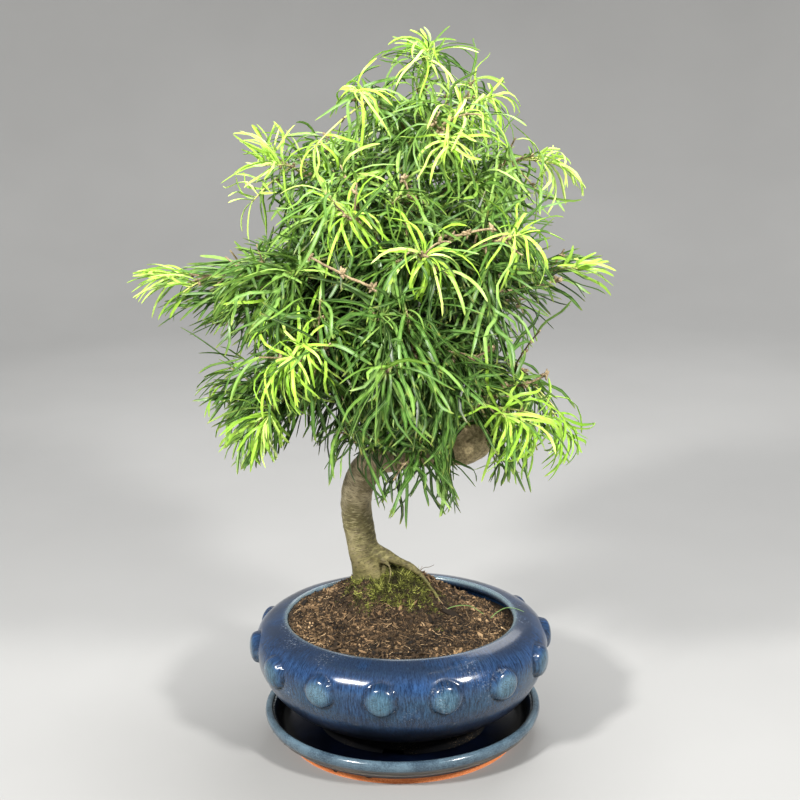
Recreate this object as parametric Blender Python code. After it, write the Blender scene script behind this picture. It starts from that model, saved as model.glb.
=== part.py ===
"""Golden larch bonsai in an oval studded pot, standing on its drip saucer.

Metres, +Z up. The origin is the centre of the saucer's flat underside, +X is to the right
and +Y is away from the viewer of the tree's front.
"""
import math

import bpy
import bmesh
import numpy as np
from mathutils import Matrix, Vector

GAP = 0.0003                    # clearance between pieces that touch
MM = 0.001
SPARE_EDGE_ANGLE = math.radians(3.0)
CREASE_ANGLE = math.radians(38.0)

# Pot, an oval bowl with a turned-in rim
POT_HALF_WIDTH = 0.1200
POT_HALF_DEPTH = 0.1055
POT_TURN = math.radians(-4.4)
RIM_HEIGHT = 0.1060
RIM_INSET = 0.0265
LOWER_BOWL_TOP = 0.0860         # where the lower bowl's quarter ellipse starts
LOWER_BOWL_BOTTOM = 0.0180
LOWER_BOWL_REACH = 0.0750       # how far that quarter ellipse runs inwards
LOWER_BOWL_INSETS = (0.0500, 0.0330, 0.0175, 0.0080, 0.0024)
POT_FOOT_INSET = 0.0500
POT_FOOT_WIDTH = 0.0080
POT_FLOOR_TOP = 0.0280
POT_SIDES = 28                  # two facets to a stud pitch, so each stud sits on one facet
# Inset from the belly and height, from the belly up to the rim and down the inside
POT_SHOULDER = ((0, 0.0825), (0.0048, 0.0960), (0.0128, 0.1028), (0.0240, RIM_HEIGHT))
POT_LIP = ((RIM_INSET, RIM_HEIGHT - 0.0008), (RIM_INSET + 0.0012, RIM_HEIGHT - 0.0030),
           (0.0205, 0.0955))
POT_INNER_WALL = ((0.0085, 0.0800), (0.0125, 0.0590), (0.0270, 0.0400), (0.0560, POT_FLOOR_TOP))
DRAIN_HOLE_RADIUS = 0.0120
FOOT_NOTCH_WIDTH = 0.0160
FOOT_NOTCH_HEIGHT = 0.0045

# Studs round the belly
STUD_COUNT = 14
STUD_START = 0.484              # first stud, in stud pitches round from the pot's own +X
STUD_HEIGHT = 0.0825
STUD_RADIUS = 0.0125
STUD_RISE = 0.0055
STUD_SINK = 0.0006

# Saucer
SAUCER_HALF_WIDTH = 0.1145
SAUCER_HALF_DEPTH = 0.1036
SAUCER_TURN = math.radians(1.5)
SAUCER_FLOOR = 0.0080
SAUCER_FOOT_INSET = 0.0194
SAUCER_SIDES = 28
SAUCER_PROFILE = (              # inset from the edge and height, from the foot over the lip
    (SAUCER_FOOT_INSET, 0), (SAUCER_FOOT_INSET - 0.0006, 0.0045), (0.0095, 0.0110),
    (0.0022, 0.0190), (0, 0.0245), (0.0014, 0.0275), (0.0035, 0.0285),
    (0.0062, 0.0277), (0.0085, 0.0240), (0.0130, 0.0130), (0.0225, SAUCER_FLOOR),
)

# Drain mesh on the pot's floor
MESH_SIDE = 0.0400
MESH_THICKNESS = 0.0012
MESH_HOLE = 0.0070
MESH_HOLES_PER_SIDE = 3
MESH_BORDER = 0.6               # both solid borders together, in hole pitches

# Soil: a level filling with a steep mound under the trunk
SOIL_LEVEL = 0.0985
SOIL_TILT = 0.040               # rise towards -X, in metres per metre
SOIL_EDGE_TOP = RIM_HEIGHT - 0.0045
SOIL_EDGE_DEPTH = 0.0060        # how far the edge goes straight down before it widens
SOIL_UNDER_LIP = 0.0935
SOIL_UNDER_LIP_REACH = 0.0040
SOIL_RINGS = (0.76, 0.52, 0.30) # shares of the way from the mound's centre to the edge
MOUND_CENTRE = (-0.008, 0.036)
MOUND_RISE = 0.0300
MOUND_RADIUS = 0.0420
MOUND_STEEPNESS = 1.5
SOIL_LUMP = 0.0016
SOIL_SEED = 11

# Trunk centre line: x, y, z and radius in millimetres, from the root stock to the leader
TRUNK_LINE = [
    (-26, 42, 60, 13), (-26, 42, 88, 16), (-26, 42, 112, 17.5), (-27, 42, 124, 15.5),
    (-30, 41, 138, 13.8), (-34, 41, 154, 13), (-37, 38, 181, 13), (-34, 32, 206, 13),
    (-22, 24, 228, 12.8), (1, 13, 238, 12), (26, 3, 245, 11.8), (44, -4, 250, 13.5),
    (58, -4, 254, 16), (62, 0, 266, 16), (56, 8, 279, 13.5), (42, 14, 288, 11.5),
    (22, 18, 295, 10.5), (7, 20, 308, 10), (0, 20, 330, 9.2), (-1, 18, 366, 8),
    (3, 15, 402, 7), (9, 12, 444, 5.6), (15, 10, 478, 4.2), (22, 10, 503, 3.2),
    (24, 10, 514, 2.8),
]
TRUNK_RINGS = 32
TRUNK_BEVEL = 2                 # 8 sides
UPPER_TRUNK_BOTTOM = 0.2880     # above this the trunk only rises, and carries the branches
ROOT_RINGS = 6
ROOT_BEVEL = 1                  # 6 sides

# Roots that show above the soil, in the same way
ROOT_LINES = [
    [(-27, 39, 143, 9.5), (-15, 37, 141.5, 7.8), (-4, 35, 138, 5.6), (8, 32, 132, 4.2),
     (18, 28, 125, 3.4), (29, 23, 112, 2.8), (37, 17, 96, 2.4)],
    [(-29, 45, 127, 8), (-32, 55, 118, 5.5), (-34, 62, 107, 4.2), (-35, 67, 93, 3.4)],
    [(-20, 35, 139, 3.4), (-12, 26, 140, 2.6), (-8, 20, 134, 2.2), (-10, 18, 127, 2.0),
     (-14, 19, 117, 1.8)],
]

# Leafy branches: the height in millimetres at which each leaves the trunk, then its tip
BRANCHES = [
    (514, (29, 9, 541)),
    (492, (-18, -6, 522)), (484, (60, 26, 520)), (468, (52, -46, 512)), (476, (12, 56, 510)),
    (430, (106, 2, 478)), (420, (-60, 58, 482)), (408, (-86, 16, 476)),
    (400, (-24, -104, 452)), (386, (34, -128, 428)),
    (378, (90, -64, 428)), (392, (80, 104, 428)), (382, (-72, 114, 422)),
    (372, (8, 138, 396)), (364, (-106, -60, 400)), (362, (130, 18, 386)),
    (356, (-156, 2, 390)), (350, (-114, 72, 378)),
    (340, (26, -120, 350)), (334, (-60, -110, 350)), (338, (104, 84, 350)),
    (328, (-64, 104, 330)), (322, (104, 8, 310)), (318, (-100, -32, 290)),
    (316, (36, 110, 316)), (312, (84, -74, 300)), (306, (-26, -66, 276)), (298, (22, -70, 264)),
]
BRANCH_ROOT_RADIUS = 0.0017     # plus BRANCH_ROOT_GROWTH times the branch's length
BRANCH_ROOT_GROWTH = 0.0100
BRANCH_LIFT = 0.12              # extra rise of its first heading, as a share of its reach
BRANCH_BEND = 0.5               # where it turns down to its tip
BRANCH_TAPER = 0.8
SHOOT_TIP_RADIUS = 0.0009
STUB_LENGTH = 0.0025
STUB_SPAN = 0.0060              # half the height over which the trunk's run is taken
MAIN_POINTS = 4
SIDE_SHOOTS = ((0.46, 0.036), (0.70, 0.032))    # place along the branch, length
SIDE_POINTS = 2
SIDE_FORWARD = 0.62
SIDE_ACROSS = 0.78
SIDE_LIFT = 0.12
SIDE_THICKNESS = 0.8            # of the branch, where the shoot leaves it
SHOOT_CLEARANCE = 0.0040
BARE_BRANCH_REACH = 0.0500      # shorter branches carry no side shoots
FULL_BRANCH_REACH = 0.1200      # from here on a branch has all its leaves
BRANCH_SEED = 240

# Leaves: true width and length, arched over and hanging towards their tips
LEAF_LENGTH = (0.042, 0.057)
LEAF_WIDTH = 0.0032
LEAF_THICKNESS = 0.0010
LEAF_DROOP = (1.1, 2.1)
LEAF_SECTIONS = ((0.0, 0.34), (0.34, 1.0), (0.70, 0.86), (1.0, 0.0))   # place, share of width
LEAF_RISE = 0.18                # upward lean of a leaf where it leaves its shoot
LEAF_LEAST_REACH = 0.12         # leaves that would stand straight up or down are drawn again
TIP_LEAVES = 5
MAIN_LEAVES = 4
SIDE_TIP_LEAVES = 3
SIDE_LEAVES = 1
TIP_SPREAD = (math.radians(28.0), math.radians(44.0))   # first leaf, and what the last adds
ALONG_SPREAD = math.radians(66.0)
ALONG_PLACES = (0.30, 0.90)
PLACE_TRIES = 40
LEAF_CLEARANCE = 0.0004
GOLDEN_ANGLE = math.radians(137.508)


def clear_scene():
    for item in list(bpy.data.objects):
        bpy.data.objects.remove(item, do_unlink=True)


def make_collection(name):
    collection = bpy.data.collections.new(name)
    bpy.context.scene.collection.children.link(collection)
    return collection


def make_material(name, colour, roughness):
    material = bpy.data.materials.new(name)
    material.use_nodes = True
    shader = material.node_tree.nodes["Principled BSDF"]
    shader.inputs["Base Color"].default_value = (*colour, 1.0)
    shader.inputs["Roughness"].default_value = roughness
    material.diffuse_color = (*colour, 1.0)
    return material


def link_mesh(name, mesh, collection, material=None):
    item = bpy.data.objects.new(name, mesh)
    collection.objects.link(item)
    if material:
        mesh.materials.clear()
        mesh.materials.append(material)
    return item


def shade_round(item):
    """Smooth shading, with the edges kept sharp that turn by more than the crease angle."""
    item.data.shade_smooth()
    item.data.set_sharp_from_angle(angle=CREASE_ANGLE)
    return item


def even_angles(half_width, half_depth, sides, phase):
    """Ellipse angles that are evenly spaced by length round its edge."""
    fine = np.linspace(0, 2 * math.pi, 2881)
    edge = np.stack([half_width * np.cos(fine), half_depth * np.sin(fine)], axis=1)
    run = np.concatenate([[0], np.cumsum(np.linalg.norm(np.diff(edge, axis=0), axis=1))])
    return np.interp((np.arange(sides) + phase) / sides * run[-1], run, fine)


def oval_ring(half_width, half_depth, inset, height, turn, angle):
    """Points of an oval moved inwards by the same distance everywhere, turned about Z."""
    point = np.stack([half_width * np.cos(angle), half_depth * np.sin(angle)], axis=1)
    normal = np.stack([np.cos(angle) / half_width, np.sin(angle) / half_depth], axis=1)
    normal /= np.linalg.norm(normal, axis=1, keepdims=True)
    point -= inset * normal
    cosine, sine = math.cos(turn), math.sin(turn)
    x = cosine * point[:, 0] - sine * point[:, 1]
    y = sine * point[:, 0] + cosine * point[:, 1]
    return np.stack([x, y, np.full(len(angle), height)], axis=1)


def pot_ring(inset, height):
    angle = even_angles(POT_HALF_WIDTH, POT_HALF_DEPTH, POT_SIDES, 2 * STUD_START - 0.5)
    return oval_ring(POT_HALF_WIDTH, POT_HALF_DEPTH, inset, height, POT_TURN, angle)


def loft(name, rings, collection, material=None):
    """Closed skin through rings of points; its first and last rings become flat faces."""
    shape = bmesh.new()
    rows = [[shape.verts.new(tuple(float(v) for v in point)) for point in ring] for ring in rings]
    for low, high in zip(rows, rows[1:]):
        count = len(low)
        for i in range(count):
            j = (i + 1) % count
            shape.faces.new((low[i], low[j], high[j], high[i]))
    shape.faces.new(list(reversed(rows[0])))
    shape.faces.new(rows[-1])
    bmesh.ops.recalc_face_normals(shape, faces=shape.faces)
    mesh = bpy.data.meshes.new(name)
    shape.to_mesh(mesh)
    shape.free()
    return link_mesh(name, mesh, collection, material)


def offset_profile(profile, distance):
    """The (inset, height) profile moved sideways by a distance, its corners kept sharp."""
    line = np.array(profile, dtype=float)
    step = np.diff(line, axis=0)
    step /= np.linalg.norm(step, axis=1, keepdims=True)
    side = np.stack([step[:, 1], -step[:, 0]], axis=1)
    before = np.vstack([side[:1], side])
    after = np.vstack([side, side[-1:]])
    corner = before + after
    corner *= (2 / np.sum(corner * corner, axis=1))[:, None]
    return [tuple(point) for point in line + distance * corner]


def evaluated_mesh(item):
    graph = bpy.context.evaluated_depsgraph_get()
    graph.update()
    return bpy.data.meshes.new_from_object(item.evaluated_get(graph))


def keep_main_body(mesh):
    """Keeps the largest closed body, without scraps, sealed hollows and spare flat edges."""
    shape = bmesh.new()
    shape.from_mesh(mesh)
    bmesh.ops.triangulate(shape, faces=shape.faces)
    shape.faces.ensure_lookup_table()
    bodies, seen = [], set()
    for face in shape.faces:
        if face.index in seen:
            continue
        body, queue = [], [face]
        seen.add(face.index)
        while queue:
            current = queue.pop()
            body.append(current)
            for edge in current.edges:
                for other in edge.link_faces:
                    if other.index not in seen:
                        seen.add(other.index)
                        queue.append(other)
        bodies.append(body)
    bodies.sort(key=len, reverse=True)
    for body in bodies[1:]:
        bmesh.ops.delete(shape, geom=body, context="FACES")
    bmesh.ops.dissolve_limit(shape, angle_limit=SPARE_EDGE_ANGLE, verts=shape.verts, edges=shape.edges)
    bmesh.ops.triangulate(shape, faces=shape.faces)
    shape.to_mesh(mesh)
    shape.free()


def fuse(name, items, collection, material):
    """Joins closed meshes into one body with a Boolean union on a collection."""
    base, rest = items[0], items[1:]
    helpers = bpy.data.collections.new(name + "_joined")
    for item in rest:
        helpers.objects.link(item)
    join = base.modifiers.new("join", "BOOLEAN")
    join.operation = "UNION"
    join.operand_type = "COLLECTION"
    join.collection = helpers
    join.solver = "MANIFOLD"
    mesh = evaluated_mesh(base)
    for item in items:
        bpy.data.objects.remove(item, do_unlink=True)
    bpy.data.collections.remove(helpers)
    keep_main_body(mesh)
    mesh.name = name
    return link_mesh(name, mesh, collection, material)


def add_cutter(item, cutter, cutters):
    """Cuts an object with a closed mesh that is kept, hidden, in the cutters' collection."""
    for collection in list(cutter.users_collection):
        collection.objects.unlink(cutter)
    cutters.objects.link(cutter)
    cutter.hide_render = True
    cutter.display_type = "WIRE"
    cut = item.modifiers.new(cutter.name, "BOOLEAN")
    cut.operation = "DIFFERENCE"
    cut.object = cutter
    cut.solver = "EXACT"


def smooth_line(rows, count):
    """Even samples of the Catmull-Rom curve through rows of numbers."""
    rows = np.array(rows, dtype=float)
    padded = np.vstack([2 * rows[0] - rows[1], rows, 2 * rows[-1] - rows[-2]])
    place = np.linspace(0, len(rows) - 1, 20 * len(rows))
    index = np.minimum(place.astype(int), len(rows) - 2)
    t = (place - index)[:, None]
    a, b, c, d = (padded[index + k] for k in range(4))
    fine = 0.5 * (2 * b + (c - a) * t + (2 * a - 5 * b + 4 * c - d) * t ** 2
                  + (3 * b - a - 3 * c + d) * t ** 3)
    run = np.concatenate([[0], np.cumsum(np.linalg.norm(np.diff(fine[:, :3], axis=0), axis=1))])
    even = np.linspace(0, run[-1], count)
    return np.stack([np.interp(even, run, fine[:, k]) for k in range(fine.shape[1])], axis=1)


def tube(name, points, radii, bevel_resolution, collection, material=None):
    """Round tube with filled ends, from a poly curve with a radius at each point."""
    curve = bpy.data.curves.new(name, "CURVE")
    curve.dimensions = "3D"
    curve.bevel_depth = 1.0
    curve.bevel_resolution = bevel_resolution
    curve.use_fill_caps = True
    spline = curve.splines.new("POLY")
    spline.points.add(len(points) - 1)
    for target, point, radius in zip(spline.points, points, radii):
        target.co = (*(float(v) for v in point), 1.0)
        target.radius = float(radius)
    guide = bpy.data.objects.new(name + "_curve", curve)
    collection.objects.link(guide)
    mesh = evaluated_mesh(guide)
    bpy.data.objects.remove(guide, do_unlink=True)
    shape = bmesh.new()
    shape.from_mesh(mesh)
    bmesh.ops.remove_doubles(shape, verts=shape.verts, dist=0.00001)
    bmesh.ops.recalc_face_normals(shape, faces=shape.faces)
    shape.to_mesh(mesh)
    shape.free()
    mesh.name = name
    return link_mesh(name, mesh, collection, material)


def lower_bowl(inset):
    """Height of the bowl's lower quarter ellipse at an inset from the belly."""
    reach = 1 - inset / LOWER_BOWL_REACH
    return LOWER_BOWL_TOP - (LOWER_BOWL_TOP - LOWER_BOWL_BOTTOM) * math.sqrt(1 - reach * reach)


def pot_profile():
    """Inset and height from the foot, round the belly, over the lip and down to the floor."""
    bowl = [(inset, lower_bowl(inset)) for inset in LOWER_BOWL_INSETS]
    return bowl + list(POT_SHOULDER + POT_LIP + POT_INNER_WALL)


def build_saucer(collection):
    material = make_material("saucer_glaze", (0.045, 0.10, 0.19), 0.25)
    angle = even_angles(SAUCER_HALF_WIDTH, SAUCER_HALF_DEPTH, SAUCER_SIDES, 0)
    rings = [oval_ring(SAUCER_HALF_WIDTH, SAUCER_HALF_DEPTH, inset, height, SAUCER_TURN, angle)
             for inset, height in SAUCER_PROFILE]
    shade_round(loft("saucer", rings, collection, material))


def stud_places():
    """Centre and outward direction of each stud, evenly spaced by length round the belly."""
    angle = even_angles(POT_HALF_WIDTH, POT_HALF_DEPTH, STUD_COUNT, STUD_START)
    belly = oval_ring(POT_HALF_WIDTH, POT_HALF_DEPTH, 0, STUD_HEIGHT, POT_TURN, angle)
    inner = oval_ring(POT_HALF_WIDTH, POT_HALF_DEPTH, MM, STUD_HEIGHT, POT_TURN, angle)
    return list(zip(belly, (belly - inner) / MM))


def stud(name, centre, outward, collection):
    """A low round dome, half sunk into the pot's wall."""
    shape = bmesh.new()
    bmesh.ops.create_uvsphere(shape, u_segments=8, v_segments=4, radius=STUD_RADIUS)
    squash = STUD_RISE / STUD_RADIUS
    for vertex in shape.verts:
        vertex.co.z *= squash
    turn = Vector(outward).to_track_quat("Z", "Y").to_matrix()
    bmesh.ops.rotate(shape, verts=shape.verts, matrix=turn)
    sunk = Vector(centre) - STUD_SINK * Vector(outward)
    bmesh.ops.translate(shape, verts=shape.verts, vec=sunk)
    mesh = bpy.data.meshes.new(name)
    shape.to_mesh(mesh)
    shape.free()
    return link_mesh(name, mesh, collection)


def box(name, size, centre, turn, collection):
    shape = bmesh.new()
    bmesh.ops.create_cube(shape, size=1.0)
    bmesh.ops.scale(shape, verts=shape.verts, vec=size)
    bmesh.ops.rotate(shape, verts=shape.verts, matrix=Matrix.Rotation(turn, 3, "Z"))
    bmesh.ops.translate(shape, verts=shape.verts, vec=centre)
    mesh = bpy.data.meshes.new(name)
    shape.to_mesh(mesh)
    shape.free()
    return link_mesh(name, mesh, collection)


def build_pot(collection, cutters):
    material = make_material("pot_glaze", (0.035, 0.09, 0.24), 0.22)
    foot_bottom = SAUCER_FLOOR + GAP
    foot_inner = POT_FOOT_INSET + POT_FOOT_WIDTH
    under = [(foot_inner, LOWER_BOWL_BOTTOM), (foot_inner, foot_bottom), (POT_FOOT_INSET, foot_bottom)]
    rings = [pot_ring(inset, height) for inset, height in under + pot_profile()]
    body = loft("pot_body", rings, collection)
    studs = [stud("stud_%02d" % k, centre, outward, collection)
             for k, (centre, outward) in enumerate(stud_places())]
    pot = shade_round(fuse("pot", [body] + studs, collection, material))
    shape = bmesh.new()
    bmesh.ops.create_cone(shape, cap_ends=True, segments=16, radius1=DRAIN_HOLE_RADIUS,
                          radius2=DRAIN_HOLE_RADIUS, depth=2 * POT_FLOOR_TOP)
    bmesh.ops.translate(shape, verts=shape.verts, vec=(0, 0, POT_FLOOR_TOP))
    mesh = bpy.data.meshes.new("drain_hole_cutter")
    shape.to_mesh(mesh)
    shape.free()
    add_cutter(pot, link_mesh("drain_hole_cutter", mesh, cutters), cutters)
    for k in range(2):
        size = (3 * POT_HALF_WIDTH, FOOT_NOTCH_WIDTH, 2 * FOOT_NOTCH_HEIGHT)
        turn = POT_TURN + math.radians(90 * k)
        notch = box("foot_notch_%d_cutter" % k, size, (0, 0, foot_bottom), turn, cutters)
        add_cutter(pot, notch, cutters)


def build_drain_mesh(collection, cutters):
    material = make_material("drain_mesh_plastic", (0.03, 0.03, 0.03), 0.6)
    centre = (0, 0, POT_FLOOR_TOP + GAP + MESH_THICKNESS / 2)
    sheet = box("drain_mesh", (MESH_SIDE, MESH_SIDE, MESH_THICKNESS), centre, POT_TURN, collection)
    sheet.data.materials.append(material)
    pitch = MESH_SIDE / (MESH_HOLES_PER_SIDE + MESH_BORDER)
    cosine, sine = math.cos(POT_TURN), math.sin(POT_TURN)
    holes = []
    for row in range(MESH_HOLES_PER_SIDE):
        for column in range(MESH_HOLES_PER_SIDE):
            u = (column - (MESH_HOLES_PER_SIDE - 1) / 2) * pitch
            v = (row - (MESH_HOLES_PER_SIDE - 1) / 2) * pitch
            place = (cosine * u - sine * v, sine * u + cosine * v, centre[2])
            holes.append(box("mesh_hole", (MESH_HOLE, MESH_HOLE, 3 * MESH_THICKNESS), place,
                             POT_TURN, cutters))
    add_cutter(sheet, join_loose("mesh_hole_cutter", holes, cutters), cutters)


def join_loose(name, items, collection):
    """Puts separate closed bodies that don't touch into one mesh."""
    shape = bmesh.new()
    for item in items:
        shape.from_mesh(item.data)
        bpy.data.objects.remove(item, do_unlink=True)
    mesh = bpy.data.meshes.new(name)
    shape.to_mesh(mesh)
    shape.free()
    return link_mesh(name, mesh, collection)


def soil_height(x, y, draw):
    """The tilted level, the bell of the mound and a random lump, added up."""
    away = np.hypot(x - MOUND_CENTRE[0], y - MOUND_CENTRE[1]) / MOUND_RADIUS
    mound = MOUND_RISE * np.exp(-away ** (2 * MOUND_STEEPNESS))
    return SOIL_LEVEL - SOIL_TILT * x + mound + SOIL_LUMP * draw.uniform(-1, 1, np.shape(x))


def build_soil(collection, cutters):
    """The filling follows the pot's inner wall, and its lumpy top rises to the mound."""
    material = make_material("soil", (0.12, 0.075, 0.045), 0.95)
    draw = np.random.RandomState(SOIL_SEED)
    wall = offset_profile(POT_INNER_WALL, -GAP)[::-1]
    wall[0] = (wall[0][0], POT_FLOOR_TOP + GAP)
    rings = [pot_ring(inset, height) for inset, height in wall]
    neck = POT_LIP[1][0] + GAP
    edge = pot_ring(neck, 0)
    edge[:, 2] = np.minimum(soil_height(edge[:, 0], edge[:, 1], draw), SOIL_EDGE_TOP)
    under_lip = pot_ring(neck - SOIL_UNDER_LIP_REACH, 0)
    under_lip[:, 2] = np.minimum(edge[:, 2] - SOIL_EDGE_DEPTH, SOIL_UNDER_LIP)
    rings += [under_lip, edge]
    shape = bmesh.new()
    rows = [[shape.verts.new(tuple(float(v) for v in point)) for point in ring] for ring in rings]
    shape.faces.new(list(reversed(rows[0])))
    for share in SOIL_RINGS:
        x = MOUND_CENTRE[0] * (1 - share) + edge[:, 0] * share
        y = MOUND_CENTRE[1] * (1 - share) + edge[:, 1] * share
        z = soil_height(x, y, draw)
        rows.append([shape.verts.new((float(a), float(b), float(c))) for a, b, c in zip(x, y, z)])
    for low, high in zip(rows, rows[1:]):
        for i in range(POT_SIDES):
            j = (i + 1) % POT_SIDES
            shape.faces.new((low[i], low[j], high[j]))
            shape.faces.new((low[i], high[j], high[i]))
    crown = shape.verts.new((*MOUND_CENTRE, SOIL_LEVEL - SOIL_TILT * MOUND_CENTRE[0] + MOUND_RISE))
    for i in range(POT_SIDES):
        shape.faces.new((rows[-1][i], rows[-1][(i + 1) % POT_SIDES], crown))
    bmesh.ops.recalc_face_normals(shape, faces=shape.faces)
    mesh = bpy.data.meshes.new("soil")
    shape.to_mesh(mesh)
    shape.free()
    soil = shade_round(link_mesh("soil", mesh, collection, material))
    room = MESH_SIDE + 2 * GAP
    recess = box("mesh_recess_cutter", (room, room, 2 * (MESH_THICKNESS + 2 * GAP)),
                 (0, 0, POT_FLOOR_TOP + GAP), POT_TURN, cutters)
    add_cutter(soil, recess, cutters)
    return soil


def trunk_samples():
    line = smooth_line(TRUNK_LINE, TRUNK_RINGS) * MM
    return line[:, :3], line[:, 3]


def wood_bodies(name, grow, collection):
    """Trunk and roots as closed tubes, fatter by grow where they cut their hole in the soil."""
    points, radii = trunk_samples()
    bodies = [tube(name + "_stem", points, radii + grow, TRUNK_BEVEL, collection)]
    for k, rows in enumerate(ROOT_LINES):
        root = smooth_line(rows, ROOT_RINGS) * MM
        bodies.append(tube("%s_root_%d" % (name, k), root[:, :3], root[:, 3] + grow, ROOT_BEVEL,
                           collection))
    return bodies


def stub_frame(height):
    """Where the trunk's centre line passes a height on its upper part, its radius and run."""
    points, radii = trunk_samples()
    upper = points[:, 2] >= UPPER_TRUNK_BOTTOM
    z = points[upper, 2]
    centre, ahead, behind = (np.array([np.interp(level, z, points[upper, k]) for k in range(3)])
                             for level in (height, height + STUB_SPAN, height - STUB_SPAN))
    run = (ahead - behind) / np.linalg.norm(ahead - behind)
    return centre, float(np.interp(height, z, radii[upper])), run


def branch_plan(k):
    """Stub start, stub end, branch points and radii of one leafy branch."""
    height, tip = BRANCHES[k]
    tip = np.array(tip) * MM
    if k == 0:
        points, radii = trunk_samples()
        start, heading = points[-1], points[-1] - points[-2]
        heading = heading / np.linalg.norm(heading)
        stub_end = start
        root_radius = radii[-1]
    else:
        centre, trunk_radius, run = stub_frame(height * MM)
        reach = np.linalg.norm(tip - centre)
        root_radius = BRANCH_ROOT_RADIUS + BRANCH_ROOT_GROWTH * reach
        heading = tip - centre + np.array([0, 0, BRANCH_LIFT * reach])
        heading /= np.linalg.norm(heading)
        along = abs(float(heading @ run))
        across = math.sqrt(1 - along * along)
        exit_length = (trunk_radius + root_radius * along) / across + STUB_LENGTH
        start, stub_end = centre, centre + exit_length * heading
    root = stub_end + GAP * heading
    reach = np.linalg.norm(tip - root)
    bend = root + BRANCH_BEND * reach * heading
    t = np.linspace(0, 1, MAIN_POINTS)[:, None]
    points = (1 - t) ** 2 * root + 2 * t * (1 - t) * bend + t ** 2 * tip
    radii = root_radius + (SHOOT_TIP_RADIUS - root_radius) * t[:, 0] ** BRANCH_TAPER
    return start, stub_end, root_radius, points, radii


class Crowd:
    """Every placed stretch of twig or leaf, to keep new ones clear of them."""

    def __init__(self):
        self.a = np.zeros((0, 3))
        self.b = np.zeros((0, 3))
        self.half = np.zeros(0)
        self.node = np.zeros(0, dtype=int)
        self.shoot = np.zeros(0, dtype=int)
        self.root = np.zeros(0, dtype=bool)

    def add(self, points, halves, node, shoot, root_count):
        count = len(points) - 1
        self.a = np.vstack([self.a, points[:-1]])
        self.b = np.vstack([self.b, points[1:]])
        self.half = np.concatenate([self.half, np.maximum(halves[:-1], halves[1:])])
        self.node = np.concatenate([self.node, np.full(count, node)])
        self.shoot = np.concatenate([self.shoot, np.full(count, shoot)])
        self.root = np.concatenate([self.root, np.arange(count) < root_count])

    def clearance(self, points, halves, node, shoot, root_count):
        """Smallest free space round a new line, its own shoot's roots not counted."""
        best = 1.0
        for i in range(len(points) - 1):
            a, b = points[i], points[i + 1]
            half = max(halves[i], halves[i + 1])
            reach = np.linalg.norm(b - a) / 2 + 0.006
            middle = (self.a + self.b) / 2
            size = np.linalg.norm(self.b - self.a, axis=1) / 2
            near = np.linalg.norm(middle - (a + b) / 2, axis=1) < reach + size + self.half
            if i < root_count:
                near &= ~((self.node == node) & (self.shoot == shoot) & self.root)
            if not near.any():
                continue
            gap = line_gaps(a, b, self.a[near], self.b[near]) - self.half[near] - half
            best = min(best, float(gap.min()))
        return best


def line_gaps(p, q, starts, ends):
    """Distance from one straight stretch to each of many."""
    d1, d2, r = q - p, ends - starts, p - starts
    a, e = d1 @ d1, np.sum(d2 * d2, axis=1)
    f, c, b = np.sum(d2 * r, axis=1), r @ d1, d2 @ d1
    spread = a * e - b * b
    s = np.clip(np.where(spread > 1e-18, (b * f - c * e) / np.maximum(spread, 1e-18), 0), 0, 1)
    t = (b * s + f) / e
    s = np.where(t < 0, np.clip(-c / a, 0, 1), np.where(t > 1, np.clip((b - c) / a, 0, 1), s))
    t = np.clip(t, 0, 1)
    return np.linalg.norm(p + s[:, None] * d1 - starts - t[:, None] * d2, axis=1)


def cross_axes(forward):
    """Level and upward directions square to a heading."""
    side = np.cross(forward, (0, 0, 1))
    side /= np.linalg.norm(side)
    return side, np.cross(side, forward)


def side_shoot(points, place, length, turn, draw):
    """A short shoot that forks off forwards and sideways, and lifts a little at its tip."""
    run = np.linspace(0, 1, len(points))
    root, ahead = (np.array([np.interp(at, run, points[:, k]) for k in range(3)])
                   for at in (place, place + 0.1))
    forward = (ahead - root) / np.linalg.norm(ahead - root)
    side, up = cross_axes(forward)
    heading = SIDE_FORWARD * forward + SIDE_ACROSS * (math.cos(turn) * side + math.sin(turn) * up)
    t = np.linspace(0, 1, SIDE_POINTS)[:, None]
    lift = draw.uniform(0.0, SIDE_LIFT)
    return root + length * (t * heading + lift * t ** 2 * np.array([0, 0, 1.0]))


def leaf_line(root, heading, length, droop):
    """Four points down a leaf that sets off along heading and bends over under its weight."""
    points = [root]
    places = [place for place, _ in LEAF_SECTIONS]
    for start, end in zip(places, places[1:]):
        middle = (start + end) / 2
        way = heading + droop * middle * np.array([0, 0, -1.0])
        way /= np.linalg.norm(way)
        points.append(points[-1] + (end - start) * length * way)
    return np.array(points)


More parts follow.
